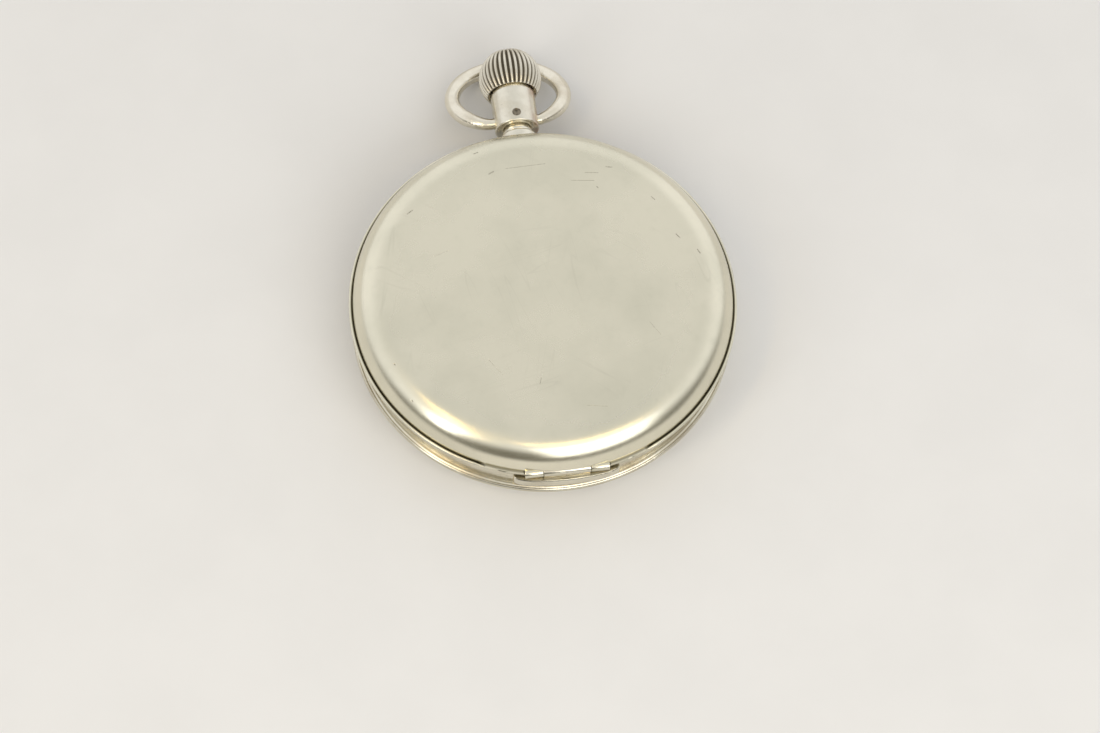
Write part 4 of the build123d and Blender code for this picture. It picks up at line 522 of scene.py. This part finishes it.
def on_z(reach, turn, height):
    """A point on a ring about the watch's upright axis, sizes in mm."""
    return Vector((reach * math.cos(turn), reach * math.sin(turn), height)) * MM


def on_stem(reach, turn, along):
    """A point on a ring about the stem's line, sizes in mm."""
    return Vector((reach * math.cos(turn), along, STEM_HEIGHT + reach * math.sin(turn))) * MM


def arc(centre, radius, start, end, steps):
    """Outline points on an arc, angles in degrees."""
    turns = (math.radians(start + (end - start) * step / steps) for step in range(steps + 1))
    return [(centre[0] + radius * math.cos(turn), centre[1] + radius * math.sin(turn)) for turn in turns]


def eased(corners, radius, steps=4):
    """A closed outline with each of its corners rounded a little."""
    points = []
    count = len(corners)
    for number, corner in enumerate(corners):
        here = Vector(corner)
        before = Vector(corners[number - 1]) - here
        after = Vector(corners[(number + 1) % count]) - here
        cut = min(radius, before.length / 2.2, after.length / 2.2)
        first = here + before.normalized() * cut
        last = here + after.normalized() * cut
        for step in range(steps + 1):
            share = step / steps
            point = first * (1 - share) ** 2 + here * (2 * share * (1 - share)) + last * share**2
            points.append((point.x, point.y))
    return points


def turn_outline(shape, outline, steps=RIM_STEPS, ring=on_z, closed=True):
    """Turns an outline of (reach, height) points into a ring of faces."""
    rows = []
    for reach, height in outline:
        rows.append([shape.verts.new(ring(reach, TURN * step / steps, height)) for step in range(steps)])
    pairs = list(zip(rows, rows[1:]))
    if closed:
        pairs.append((rows[-1], rows[0]))
    for low, high in pairs:
        for step in range(steps):
            after = (step + 1) % steps
            shape.faces.new((low[step], low[after], high[after], high[step]))


def loft(shape, rings):
    """Skins a run of equal rings and caps both ends."""
    rows = [[shape.verts.new(point) for point in ring] for ring in rings]
    count = len(rows[0])
    for low, high in zip(rows, rows[1:]):
        for step in range(count):
            after = (step + 1) % count
            shape.faces.new((low[step], low[after], high[after], high[step]))
    shape.faces.new(rows[0])
    shape.faces.new(rows[-1])


def rod(shape, start, end, radius, edge=0.08, steps=40):
    """A round bar between two points in mm, its ends eased."""
    start, end = Vector(start), Vector(end)
    along = (end - start).normalized()
    side = along.orthogonal().normalized()
    other = along.cross(side)
    length = (end - start).length
    rings = []
    for at, size in (
        (0, radius - edge), (edge * 0.3, radius - edge * 0.3), (edge, radius),
        (length - edge, radius), (length - edge * 0.3, radius - edge * 0.3), (length, radius - edge),
    ):
        middle = start + along * at
        turns = [TURN * step / steps for step in range(steps)]
        rings.append([(middle + (side * math.cos(t) + other * math.sin(t)) * size) * MM for t in turns])
    loft(shape, rings)


def slab(shape, plan, low, high, edge=0.06):
    """A flat piece from a closed plan in mm, its rims eased."""
    middle = sum((Vector(point) for point in plan), Vector((0, 0))) / len(plan)
    rings = []
    for height, inset in ((low, edge), (low + edge, 0.0), (high - edge, 0.0), (high, edge)):
        ring = []
        for point in plan:
            spot = Vector(point)
            spot -= (spot - middle).normalized() * inset
            ring.append(Vector((spot.x, spot.y, height)) * MM)
        rings.append(ring)
    loft(shape, rings)


def bead_arc(shape, reach, height, across, up, start, end, steps):
    """A round bead along part of the rim, its ends rounded off; across and up are half widths."""
    rings = []
    for step in range(steps + 1):
        turn = math.radians(start + (end - start) * step / steps)
        from_end = min(step, steps - step)
        size = 1.0 if from_end > 5 else max(0.12, math.sin(math.pi / 2 * from_end / 5) ** 0.7)
        ring = []
        for point in range(20):
            around = TURN * point / 20
            out, rise = across * size * math.cos(around), up * size * math.sin(around)
            ring.append(on_z(reach + out, turn, height + rise))
        rings.append(ring)
    loft(shape, rings)


def made(name, shape, sharp=38.0):
    """A mesh object from a shape: doubles merged, faces outwards, smooth but for sharp edges."""
    bmesh.ops.remove_doubles(shape, verts=shape.verts, dist=1e-7)
    bmesh.ops.dissolve_degenerate(shape, edges=shape.edges, dist=1e-8)
    bmesh.ops.recalc_face_normals(shape, faces=shape.faces)
    mesh = bpy.data.meshes.new(name)
    shape.to_mesh(mesh)
    shape.free()
    smooth(mesh, sharp)
    return new_object(name, mesh)


def smooth(mesh, sharp=38.0):
    """Smooth shading, but for edges sharper than an angle in degrees."""
    mesh.shade_smooth()
    mesh.set_sharp_from_angle(angle=math.radians(sharp))


def settle(piece):
    """Turns a piece's modifiers into plain mesh and drops them."""
    evaluated = piece.evaluated_get(bpy.context.evaluated_depsgraph_get())
    mesh = bpy.data.meshes.new_from_object(evaluated)
    piece.modifiers.clear()
    if piece.type == "MESH":
        piece.data = mesh
        return piece
    name = piece.name
    bpy.data.objects.remove(piece)
    return new_object(name, mesh)


def bore(piece, holes):
    """Cuts round holes, each from a start to an end in mm with a radius, through a piece."""
    piece.data.transform(Matrix.Scale(1 / MM, 4))
    for start, end, radius in holes:
        cutter_shape = bmesh.new()
        rod(cutter_shape, start, end, radius, edge=0.02, steps=48)
        cutter = made("cutter", cutter_shape)
        cutter.data.transform(Matrix.Scale(1 / MM, 4))
        cut = piece.modifiers.new("bore", "BOOLEAN")
        cut.operation = "DIFFERENCE"
        cut.solver = "EXACT"
        cut.object = cutter
        settle(piece)
        bpy.data.objects.remove(cutter)
    piece.data.transform(Matrix.Scale(MM, 4))
    smooth(piece.data)


def fit(piece, finish, body, slot, *nodes):
    """Gives a piece its finish and its body, and hides the CAD nodes that it stands for."""
    piece.data.materials.clear()
    piece.data.materials.append(finishes[finish])
    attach(piece, body)
    if nodes:
        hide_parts(*nodes)
    return piece


# ---------------------------------------------------------------- geometry node trees

def geometry_tree(name, inputs):
    """A new geometry node tree with named inputs, and its two ends."""
    tree = bpy.data.node_groups.new(name, "GeometryNodeTree")
    tree.interface.new_socket("Geometry", in_out="INPUT", socket_type="NodeSocketGeometry")
    for label, kind, value in inputs:
        socket = tree.interface.new_socket(label, in_out="INPUT", socket_type="NodeSocket" + kind)
        if value is not None:
            socket.default_value = value
    tree.interface.new_socket("Geometry", in_out="OUTPUT", socket_type="NodeSocketGeometry")
    return tree, add(tree, "NodeGroupInput").outputs, add(tree, "NodeGroupOutput")


def grow(piece, tree, values):
    """Runs a geometry node tree on a piece with its own values and keeps the mesh."""
    modifier = piece.modifiers.new(tree.name, "NODES")
    modifier.node_group = tree
    for item in tree.interface.items_tree:
        if item.in_out == "INPUT" and item.name in values:
            modifier[item.identifier] = values[item.name]
    return settle(piece)


def end_tree(tree, geometry, material, result):
    """Ends a tree with real faces and their material."""
    real = add(tree, "GeometryNodeRealizeInstances", {0: geometry})
    done = add(tree, "GeometryNodeSetMaterial", {"Geometry": real.outputs[0], "Material": material})
    tree.links.new(done.outputs[0], result.inputs[0])


def build_flutes():
    """Presses flutes along the meridians of a turned knob and marks their depth."""
    tree, given, result = geometry_tree("crown flutes", [
        ("Flutes", "Float", 36.0), ("Depth", "Float", 0.0003), ("Fade Start", "Float", 0.0012),
        ("Fade End", "Float", 0.003), ("Axis Height", "Float", 0.007), ("Inner Reach", "Float", 0.0034),
        ("Low Edge", "Float", 0.0336), ("Top Rise", "Float", 0.0024), ("Material", "Material", None),
    ])
    position = add(tree, "GeometryNodeInputPosition").outputs[0]
    parts = add(tree, "ShaderNodeSeparateXYZ", {0: position}).outputs
    up = maths(tree, "SUBTRACT", parts["Z"], given["Axis Height"])
    across = add(tree, "ShaderNodeCombineXYZ", {0: parts["X"], 2: up}).outputs[0]
    reach = vectors(tree, "LENGTH", across, output=1)
    turn = maths(tree, "ARCTAN2", up, parts["X"])
    wave = maths(tree, "COSINE", maths(tree, "MULTIPLY", turn, given["Flutes"]))
    groove = maths(tree, "SUBTRACT", 0.5, maths(tree, "MULTIPLY", wave, 0.5))
    groove = maths(tree, "POWER", groove, 1.6)
    fade = add(tree, "ShaderNodeMapRange", {
        "Value": reach, "From Min": given["Fade Start"], "From Max": given["Fade End"],
    }, interpolation_type="SMOOTHSTEP").outputs["Result"]
    normal = add(tree, "GeometryNodeInputNormal").outputs[0]
    outward = vectors(tree, "DOT_PRODUCT", normal, vectors(tree, "NORMALIZE", across), 1)
    beyond = maths(tree, "GREATER_THAN", parts["Y"], given["Low Edge"])
    outside = maths(tree, "GREATER_THAN", reach, given["Inner Reach"])
    above_edge = maths(tree, "SUBTRACT", parts["Y"], given["Low Edge"])
    top = maths(tree, "GREATER_THAN", above_edge, given["Top Rise"])
    shown = maths(tree, "MULTIPLY", maths(tree, "MAXIMUM", outside, top), beyond)
    facing = maths(tree, "GREATER_THAN", maths(tree, "ADD", outward, top), -0.2)
    where = maths(tree, "MULTIPLY", shown, facing)
    strength = maths(tree, "MULTIPLY", maths(tree, "MULTIPLY", groove, fade), where)
    marked = add(tree, "GeometryNodeStoreNamedAttribute", {
        "Geometry": given["Geometry"], "Name": "groove", "Value": strength,
    }, data_type="FLOAT", domain="POINT")
    downward = maths(tree, "MULTIPLY", given["Depth"], -1.0)
    inward = vectors(tree, "SCALE", normal, maths(tree, "MULTIPLY", strength, downward))
    pressed = add(tree, "GeometryNodeSetPosition", {"Geometry": marked.outputs[0], "Offset": inward})
    end_tree(tree, pressed.outputs[0], given["Material"], result)
    return tree


def build_wire():
    """Draws a round wire along a curve, thinner towards both ends."""
    tree, given, result = geometry_tree("tapered wire", [
        ("Thick", "Float", 0.001), ("Thin", "Float", 0.0007), ("Taper Share", "Float", 0.3),
        ("Sides", "Int", 32), ("Material", "Material", None),
    ])
    share = add(tree, "GeometryNodeSplineParameter").outputs["Factor"]
    from_end = maths(tree, "MINIMUM", share, maths(tree, "SUBTRACT", 1.0, share))
    radius = add(tree, "ShaderNodeMapRange", {
        "Value": from_end, "From Max": given["Taper Share"],
        "To Min": given["Thin"], "To Max": given["Thick"],
    }, interpolation_type="SMOOTHSTEP").outputs["Result"]
    ring = add(tree, "GeometryNodeCurvePrimitiveCircle", {"Resolution": given["Sides"], "Radius": 1.0})
    solid = add(tree, "GeometryNodeCurveToMesh", {
        "Curve": given["Geometry"], "Profile Curve": ring.outputs[0], "Scale": radius, "Fill Caps": True,
    })
    rounded = add(tree, "GeometryNodeSetShadeSmooth", {"Geometry": solid.outputs[0]})
    end_tree(tree, rounded.outputs[0], given["Material"], result)
    return tree


def build_marks_ring():
    """Sets equal printed strokes round a circle."""
    tree, given, result = geometry_tree("ring of strokes", [
        ("Count", "Int", 60), ("Middle Reach", "Float", 0.018), ("Length", "Float", 0.001),
        ("Width", "Float", 0.0001), ("Thickness", "Float", 0.00003), ("Material", "Material", None),
    ])
    sizes = {"Vertices": given["Count"], "Radius": given["Middle Reach"]}
    circle = add(tree, "GeometryNodeMeshCircle", sizes)
    size = add(tree, "ShaderNodeCombineXYZ", {0: given["Width"], 1: given["Length"], 2: given["Thickness"]})
    stroke = add(tree, "GeometryNodeMeshCube", {"Size": size.outputs[0]})
    position = add(tree, "GeometryNodeInputPosition").outputs[0]
    facing = add(tree, "FunctionNodeAlignRotationToVector", {"Vector": position}, axis="Y", pivot_axis="Z")
    strokes = add(tree, "GeometryNodeInstanceOnPoints", {
        "Points": circle.outputs[0], "Instance": stroke.outputs[0], "Rotation": facing.outputs[0],
    })
    end_tree(tree, strokes.outputs[0], given["Material"], result)
    return tree


FLUTES = build_flutes()
WIRE = build_wire()
STROKES = build_marks_ring()


# ---------------------------------------------------------------- back cover

DOME_RADIUS = 523.4
COVER_TOP = 13.6
COVER_WALL = 0.6
SHOULDER_MIDDLE = (21.1, 8.771)
SHOULDER_RADIUS = 4.4
INNER_SHOULDER_MIDDLE = (21.553, 9.613)
INNER_SHOULDER_RADIUS = 2.94
BEAD_RUNS = ((-65.4, 84.0), (96.0, 245.4))  # degrees, clear of hinge and pendant
BAND_TOP = 8.6
HINGE_Y = -25.06
HINGE_Z = 9.0
KNUCKLE = 0.65
MIDDLE_HALF = 3.1
OUTER_START = 3.18
OUTER_END = 5.58
WING_END = 10.6


def dome(top, start, end, steps):
    """Outline points on the cover's shallow dome."""
    spots = (start + (end - start) * step / steps for step in range(steps + 1))
    return [(spot, top - spot**2 / (2 * DOME_RADIUS)) for spot in spots]


def rim_y(reach, x):
    """Where a ring of that reach lies at x, on the hinge's side."""
    return -math.sqrt(reach**2 - x**2)


def wing_plan(side, inner, outer, steps=16):
    """The plan of a flat wing beside the knuckles, a little swollen in its middle."""
    spots = [OUTER_END + 0.05 + (WING_END - OUTER_END) * step / steps for step in range(steps + 1)]
    outside = []
    for number, x in enumerate(spots):
        swell = 0.12 * math.sin(math.pi * (number / steps)) ** 2
        outside.append((side * x, rim_y(outer + swell, x)))
    return outside + [(side * x, rim_y(inner, x)) for x in reversed(spots)]


shape = bmesh.new()
cover_outline = dome(COVER_TOP, 0.0, SHOULDER_MIDDLE[0], 44)
cover_outline += arc(SHOULDER_MIDDLE, SHOULDER_RADIUS, 87.6, 5.0, 48)
cover_outline += [(25.49, 8.95), (25.52, 8.84), (25.72, 8.8), (25.75, 8.7), (25.65, 8.64)]
cover_outline += [(24.98, BAND_TOP), (24.08, BAND_TOP), (24.0, 8.68), (24.0, 9.9)]
cover_outline += arc(INNER_SHOULDER_MIDDLE, INNER_SHOULDER_RADIUS, 8.0, 87.6, 24)
cover_outline += dome(COVER_TOP - COVER_WALL, 21.5, 0.0, 20)
turn_outline(shape, cover_outline, closed=False)
for start, end in BEAD_RUNS:
    bead_arc(shape, reach=25.77, height=9.0, across=0.22, up=0.26, start=start, end=end, steps=240)
for side in (-1, 1):
    slab(shape, wing_plan(side, 24.6, 25.8), 8.78, 9.24, 0.1)
    rod(shape, (side * OUTER_START, HINGE_Y, HINGE_Z), (side * OUTER_END, HINGE_Y, HINGE_Z), KNUCKLE)
cover = made("rear_cover_shell", shape)
bore(cover, [((-OUTER_START, HINGE_Y, HINGE_Z), (OUTER_START, HINGE_Y, HINGE_Z), KNUCKLE + 0.1)])
fit(cover, "case_silver_back", "cover", "case_silver", "rear_cover")

# ---------------------------------------------------------------- band, bezel and glass

BAND_REACH = 25.0
BEARER_OUTSIDE = 24.9
BEARER_INSIDE = 24.6
BEARER_HALF = 7.0
BEARER_DEPTH = 1.29

shape = bmesh.new()
turn_outline(shape, eased([
    (21.7, 3.0), (23.4, 3.0), (23.4, 4.2), (BAND_REACH, 4.2), (BAND_REACH, BAND_TOP),
    (23.7, BAND_TOP), (23.7, 9.5), (22.0, 9.5), (22.0, 6.8), (21.1, 6.8), (21.1, 6.2), (21.7, 6.2),
], 0.1, 3))
band = made("case_band_ring", shape)
bore(band, [
    ((0, 20.1, STEM_HEIGHT), (0, 21.85, STEM_HEIGHT), 1.65),
    ((0, 20.5, STEM_HEIGHT), (0, 26.0, STEM_HEIGHT), 1.33),
])
shape = bmesh.new()
shape.from_mesh(band.data)
bpy.data.objects.remove(band)
crescent = []
for step in range(41):
    turn = math.pi + math.pi * step / 40
    crescent.append((BEARER_HALF * math.cos(turn), -BAND_REACH + BEARER_DEPTH * math.sin(turn)))
crescent = [(x, min(y, rim_y(BEARER_OUTSIDE, x) - 0.12)) for x, y in crescent]
inside = [(x, rim_y(BEARER_INSIDE, x)) for x, _ in reversed(crescent)]
rings = []
for height, inset in ((6.1, 0.5), (6.35, 0.25), (6.8, 0.04), (7.6, 0.0), (7.95, 0.07), (8.1, 0.22)):
    outside = [(x * (1 - 0.05 * inset), min(y + inset, rim_y(BEARER_OUTSIDE, x))) for x, y in crescent]
    rings.append([Vector((x, y, height)) * MM for x, y in outside + inside])
loft(shape, rings)
rod(shape, (-MIDDLE_HALF, HINGE_Y, HINGE_Z), (MIDDLE_HALF, HINGE_Y, HINGE_Z), KNUCKLE)
slab(shape, [(-3.0, -25.4), (3.0, -25.4), (3.0, -24.8), (-3.0, -24.8)], 7.9, 8.9, 0.05)
band = made("case_band_ring", shape)
fit(band, "case_silver", "case", "case_silver", "case_band")

shape = bmesh.new()
bezel_outline = [(23.45, 4.16), (24.9, 4.2)] + arc((25.0, 3.8), 0.42, 90.0, 40.0, 5)
bezel_outline += arc((25.27, 3.8), 0.43, 60.0, -62.0, 14) + arc((21.477, 3.4), 3.523, -2.0, -72.0, 26)
bezel_outline += [(22.5, 0.03), (22.38, 0.0), (21.55, 0.0), (21.44, 0.05), (20.94, 0.46), (20.9, 0.55)]
bezel_outline += [(20.9, 1.0), (21.35, 1.0), (21.35, 2.0), (20.9, 2.0), (20.9, 2.8), (23.45, 2.8)]
turn_outline(shape, bezel_outline)
bezel = made("bezel_ring", shape)
fit(bezel, "case_silver", "case", "case_silver", "bezel")

GLASS_RADIUS = 362.6
GLASS_THICKNESS = 1.0
glass_reaches = [20.85 * step / 30 for step in range(31)]
front = [(reach, 0.4 + reach**2 / (2 * GLASS_RADIUS)) for reach in glass_reaches]
edge = [(21.22, 1.0), (21.3, 1.08), (21.3, 1.92), (21.22, 2.0)]
rear = [(reach, height + GLASS_THICKNESS) for reach, height in reversed(front)]
shape = bmesh.new()
turn_outline(shape, front + edge + rear, closed=False)
glass = made("watch_glass", shape)
fit(glass, "glass", "case", "glass", "crystal")

# ---------------------------------------------------------------- pendant, crown and bow

STEM_BORE = 0.95
SLEEVE_REACH = 3.08
SLEEVE_LOW = 27.8
SLEEVE_HIGH = 34.2
CROWN_MIDDLE = 36.2
CROWN_RADIUS = 4.35
CROWN_FLUTES = 36
STEPS_A_FLUTE = 12
BOW_TILT = math.radians(25.2)
BOW_PIVOT = 29.3
BOW_HALF = 7.74
BOW_WIDEST = 14.05 * 0.505
BOW_LENGTH = 13.88
BOW_END = 3.75
BOW_SAG = 0.42

shape = bmesh.new()
neck_outline = [(STEM_BORE, 24.9), (2.5, 24.9), (2.5, 26.5)] + arc((2.2, 26.55), 0.3, 0.0, 90.0, 6)
neck_outline += [(1.8, 26.88), (1.74, 26.95)] + arc((1.92, 27.17), 0.18, -80.0, 0.0, 5)
neck_outline += arc((1.92, 27.45), 0.18, 0.0, 80.0, 5) + [(1.72, 27.66), (1.72, 27.74)]
neck_outline += [(1.8, SLEEVE_LOW), (STEM_BORE, SLEEVE_LOW)]
turn_outline(shape, neck_outline, SMALL_STEPS, on_stem)
turn_outline(shape, [(STEM_BORE, 22.7), (1.3, 22.7), (1.3, 25.2), (STEM_BORE, 25.2)], 48, on_stem)
neck = made("pendant_neck_turned", shape)
fit(neck, "pendant_silver", "case", "pendant_silver", "pendant_neck")

shape = bmesh.new()
turn_outline(shape, eased([
    (STEM_BORE, SLEEVE_LOW), (SLEEVE_REACH, SLEEVE_LOW), (SLEEVE_REACH, SLEEVE_HIGH), (STEM_BORE, SLEEVE_HIGH),
], 0.28, 6), SMALL_STEPS, on_stem)
sleeve = made("pendant_sleeve_turned", shape)
bore(sleeve, [
    ((-4, BOW_PIVOT, STEM_HEIGHT), (-2.33, BOW_PIVOT, STEM_HEIGHT), 0.8),
    ((4, BOW_PIVOT, STEM_HEIGHT), (2.33, BOW_PIVOT, STEM_HEIGHT), 0.8),
    ((0, 29.05, 9.18), (0, 29.05, 11), 0.6),
])
fit(sleeve, "pendant_silver", "case", "pendant_silver", "pendant_sleeve")

shape = bmesh.new()
crown_outline = arc((0.0, CROWN_MIDDLE), CROWN_RADIUS, 90.0, -34.0, 60)
crown_outline += [(3.56, 33.64), (3.46, 33.6), (3.34, 33.62), (3.28, 33.7)]
crown_outline += [(3.28, 35.5), (3.2, 35.55), (0.0, 35.55)]
turn_outline(shape, crown_outline, CROWN_FLUTES * STEPS_A_FLUTE, on_stem, closed=False)
crown = made("crown_fluted", shape)
crown = grow(crown, FLUTES, {
    "Flutes": float(CROWN_FLUTES), "Depth": 0.38 * MM, "Fade Start": 0.9 * MM, "Fade End": 2.8 * MM,
    "Axis Height": STEM_HEIGHT * MM, "Inner Reach": 3.4 * MM, "Low Edge": 33.61 * MM,
    "Top Rise": 2.4 * MM, "Material": finishes["crown_silver"],
})
smooth(crown.data, 60.0)
fit(crown, "crown_silver", "crown_pressing", "crown_silver", "crown")


def bow_path():
    """The middle of the bow's wire, in its own plane, from one pivot to the other."""
    centre = (BOW_HALF**2 + BOW_WIDEST**2 - BOW_LENGTH**2) / (2 * (BOW_WIDEST - BOW_LENGTH))
    top_radius = BOW_LENGTH - centre
    rise = math.degrees(math.asin((BOW_WIDEST - centre) / top_radius))
    top = arc((0.0, centre), top_radius, 90.0, rise, 30)
    inward = Vector((-math.cos(math.radians(rise)), -math.sin(math.radians(rise))))
    span = Vector((BOW_HALF - BOW_END, BOW_WIDEST))
    side_radius = -span.length_squared / (2 * span.dot(inward))
    middle = Vector((BOW_HALF, BOW_WIDEST)) + inward * side_radius
    last = math.degrees(math.atan2(-middle.y, BOW_END - middle.x))
    side = arc((middle.x, middle.y), side_radius, rise, last, 30)[1:]
    right = top + side + [(3.3, -0.1), (2.9, -0.06), (2.45, 0.0)]
    left = [(-x, y) for x, y in reversed(right[1:])]
    return [(x - BOW_SAG * min(1.0, max(0.0, abs(x) - 2.9, y - 1.0)), y) for x, y in left + right]


wire = bpy.data.curves.new("bow_wire", "CURVE")
wire.dimensions = "3D"
spots = bow_path()
spline = wire.splines.new("POLY")
spline.points.add(len(spots) - 1)
for point, (x, out) in zip(spline.points, spots):
    y, z = BOW_PIVOT + out * math.cos(BOW_TILT), STEM_HEIGHT - out * math.sin(BOW_TILT)
    point.co = (x * MM, y * MM, z * MM, 1.0)
bow = grow(new_object("bow_wire", wire), WIRE, {
    "Thick": 1.05 * MM, "Thin": 0.74 * MM, "Taper Share": 0.13, "Sides": 32,
    "Material": finishes["bow_silver"],
})
smooth(bow.data, 60.0)
fit(bow, "bow_silver", "bow", "pendant_silver", "bow")

# ---------------------------------------------------------------- dial printing

DIAL_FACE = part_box("dial")[0].z
INK = 0.03 * MM
REGISTER = 9.5
STROKE_ROWS = (  # count, inner and outer reach, width, and the ring's middle up the dial
    (300, 18.9, 19.6, 0.05, 0.0), (60, 18.5, 19.6, 0.12, 0.0), (12, 17.8, 19.6, 0.28, 0.0),
    (30, 4.7, 5.3, 0.09, REGISTER), (6, 4.4, 5.3, 0.16, REGISTER),
)
NUMBER_ROWS = ((12, 16.0, 2.3, 0.0), (6, 3.35, 1.1, REGISTER))  # count, reach, height, middle
NUMBER_STEP = 5


def strokes(count, inner, outer, width, centre_y):
    """A ring of printed strokes on the dial's face."""
    ring = grow(new_object("strokes", bpy.data.meshes.new("strokes")), STROKES, {
        "Count": count, "Middle Reach": (inner + outer) / 2 * MM, "Length": (outer - inner) * MM,
        "Width": width * MM, "Thickness": INK, "Material": finishes["dial_print"],
    })
    ring.data.transform(Matrix.Translation((0.0, centre_y * MM, DIAL_FACE - INK / 2)))
    return ring


def numeral(text, reach, angle, height, centre_y):
    """A printed number, upright to a reader of the dial."""
    letters = bpy.data.curves.new("numeral", "FONT")
    letters.body = text
    letters.align_x = "CENTER"
    letters.align_y = "CENTER"
    letters.size = height * MM * 1.38
    letters.extrude = INK / 2
    letters.resolution_u = 3
    piece = settle(new_object("numeral", letters))
    turn = Matrix.Rotation(math.pi, 4, "Y")
    spot = Matrix.Translation((
        -reach * math.sin(angle) * MM, (centre_y + reach * math.cos(angle)) * MM, DIAL_FACE - INK / 2,
    ))
    piece.data.transform(spot @ turn)
    return piece


printing = [strokes(*row) for row in STROKE_ROWS]
for count, reach, height, centre_y in NUMBER_ROWS:
    for number in range(1, count + 1):
        angle = TURN * number / count
        printing.append(numeral(str(number * NUMBER_STEP), reach, angle, height, centre_y))
shape = bmesh.new()
for item in printing:
    shape.from_mesh(item.data)
    bpy.data.objects.remove(item)
print_mesh = bpy.data.meshes.new("dial_printing")
bmesh.ops.remove_doubles(shape, verts=shape.verts, dist=1e-8)
shape.to_mesh(print_mesh)
shape.free()
dial_printing = new_object("dial_printing", print_mesh)
fit(dial_printing, "dial_print", "case", "dial_enamel")

# ---------------------------------------------------------------- floor, light and camera

FLOOR_SIZE = 6.0
FLOOR_DROP = 0.00002  # just below the rim that the watch lies on
LAMP_DISTANCE = 0.75
DAYLIGHT = (1.0, 0.99, 0.97)

bpy.ops.mesh.primitive_plane_add(size=FLOOR_SIZE, location=(0, 0, -FLOOR_DROP))
floor = bpy.context.object
floor.name = "floor"
material, tree, shader, position = new_material("floor_pale")
grain = graded(tree, noise(tree, position, 60.0, 4.0), 0.3, 0.7)
floor_colour = mixed(tree, grain, tint(0.86, 0.86, 0.855), tint(0.88, 0.88, 0.875))
tree.links.new(floor_colour, shader.inputs["Base Color"])
shader.inputs["Roughness"].default_value = 0.9
shader.inputs["Specular IOR Level"].default_value = 0.15
floor.data.materials.append(material)

scene = bpy.context.scene
scene.view_settings.view_transform = "Standard"
world = bpy.data.worlds.new("studio")
scene.world = world
world.use_nodes = True
tree = world.node_tree
tree.nodes.clear()
path = add(tree, "ShaderNodeLightPath").outputs
seen = maths(tree, "MAXIMUM", path["Is Camera Ray"], path["Is Transmission Ray"])
mirrored = path["Is Glossy Ray"]
direction = add(tree, "ShaderNodeTexCoord").outputs["Generated"]
way = add(tree, "ShaderNodeSeparateXYZ", {0: direction}).outputs
# what the metal mirrors: dark low down and on the hinge's side, pale above
height = maths(tree, "ADD", way["Z"], maths(tree, "MULTIPLY", way["Y"], 0.55))
bright = mixed(tree, graded(tree, way["Z"], 0.5, 0.95), tint(1.0, 1.0, 1.0), tint(0.8, 0.8, 0.79))
walls = mixed(tree, graded(tree, height, -0.1, 0.42), tint(0.17, 0.16, 0.13), bright)
pale = tint(0.93, 0.93, 0.92)
colour = mixed(tree, seen, mixed(tree, mirrored, tint(0.62, 0.62, 0.62), walls), pale)
background = add(tree, "ShaderNodeBackground", {"Color": colour, "Strength": 1.0})
world_output = add(tree, "ShaderNodeOutputWorld")
tree.links.new(background.outputs[0], world_output.inputs["Surface"])


def softbox(name, towards, size, radiance, colour, turn=0.0):
    """A soft rectangular lamp that looks at the watch."""
    lamp = bpy.data.lights.new(name, "AREA")
    lamp.shape = "RECTANGLE"
    lamp.size, lamp.size_y = size
    lamp.color = colour
    lamp.energy = radiance * math.pi * size[0] * size[1]
    holder = new_object(name, lamp)
    away = Vector(towards).normalized()
    holder.matrix_world = (
        Matrix.Translation(away * LAMP_DISTANCE) @ away.to_track_quat("Z", "Y").to_matrix().to_4x4()
        @ Matrix.Rotation(turn, 4, "Z")
    )


softbox("front_window", (0.3, -0.78, 0.55), (0.62, 0.44), 2.1, DAYLIGHT)
softbox("left_window", (-0.72, -0.48, 0.5), (0.16, 0.34), 3.2, DAYLIGHT)
softbox("warm_left", (-0.52, -0.31, 0.8), (0.42, 0.08), 4.2, (1.0, 0.72, 0.28), math.radians(-52))
softbox("warm_front", (0.16, -0.47, 0.87), (0.5, 0.07), 2.8, (1.0, 0.74, 0.3), math.radians(-4))

camera_data = bpy.data.cameras.new("camera")
camera_data.sensor_fit = "HORIZONTAL"
camera_data.sensor_width = 36.0
camera_data.lens = 108.0
camera_data.clip_start = 0.01
camera_data.clip_end = 20.0
camera = new_object("camera", camera_data)
# the camera's own axes and its place in mm, fitted to the photograph
right = Vector((0.99157667, -0.12675532, 0.02662323))
above = Vector((0.10114627, 0.88620448, 0.45211841))
back = Vector((-0.08090203, -0.44561723, 0.89156051))
turned = Matrix((right, above, back)).transposed().to_4x4()
camera_place = Vector((-35.69108, -204.69966, 398.76022)) * MM
camera.matrix_world = Matrix.Translation(camera_place) @ turned
scene.camera = camera
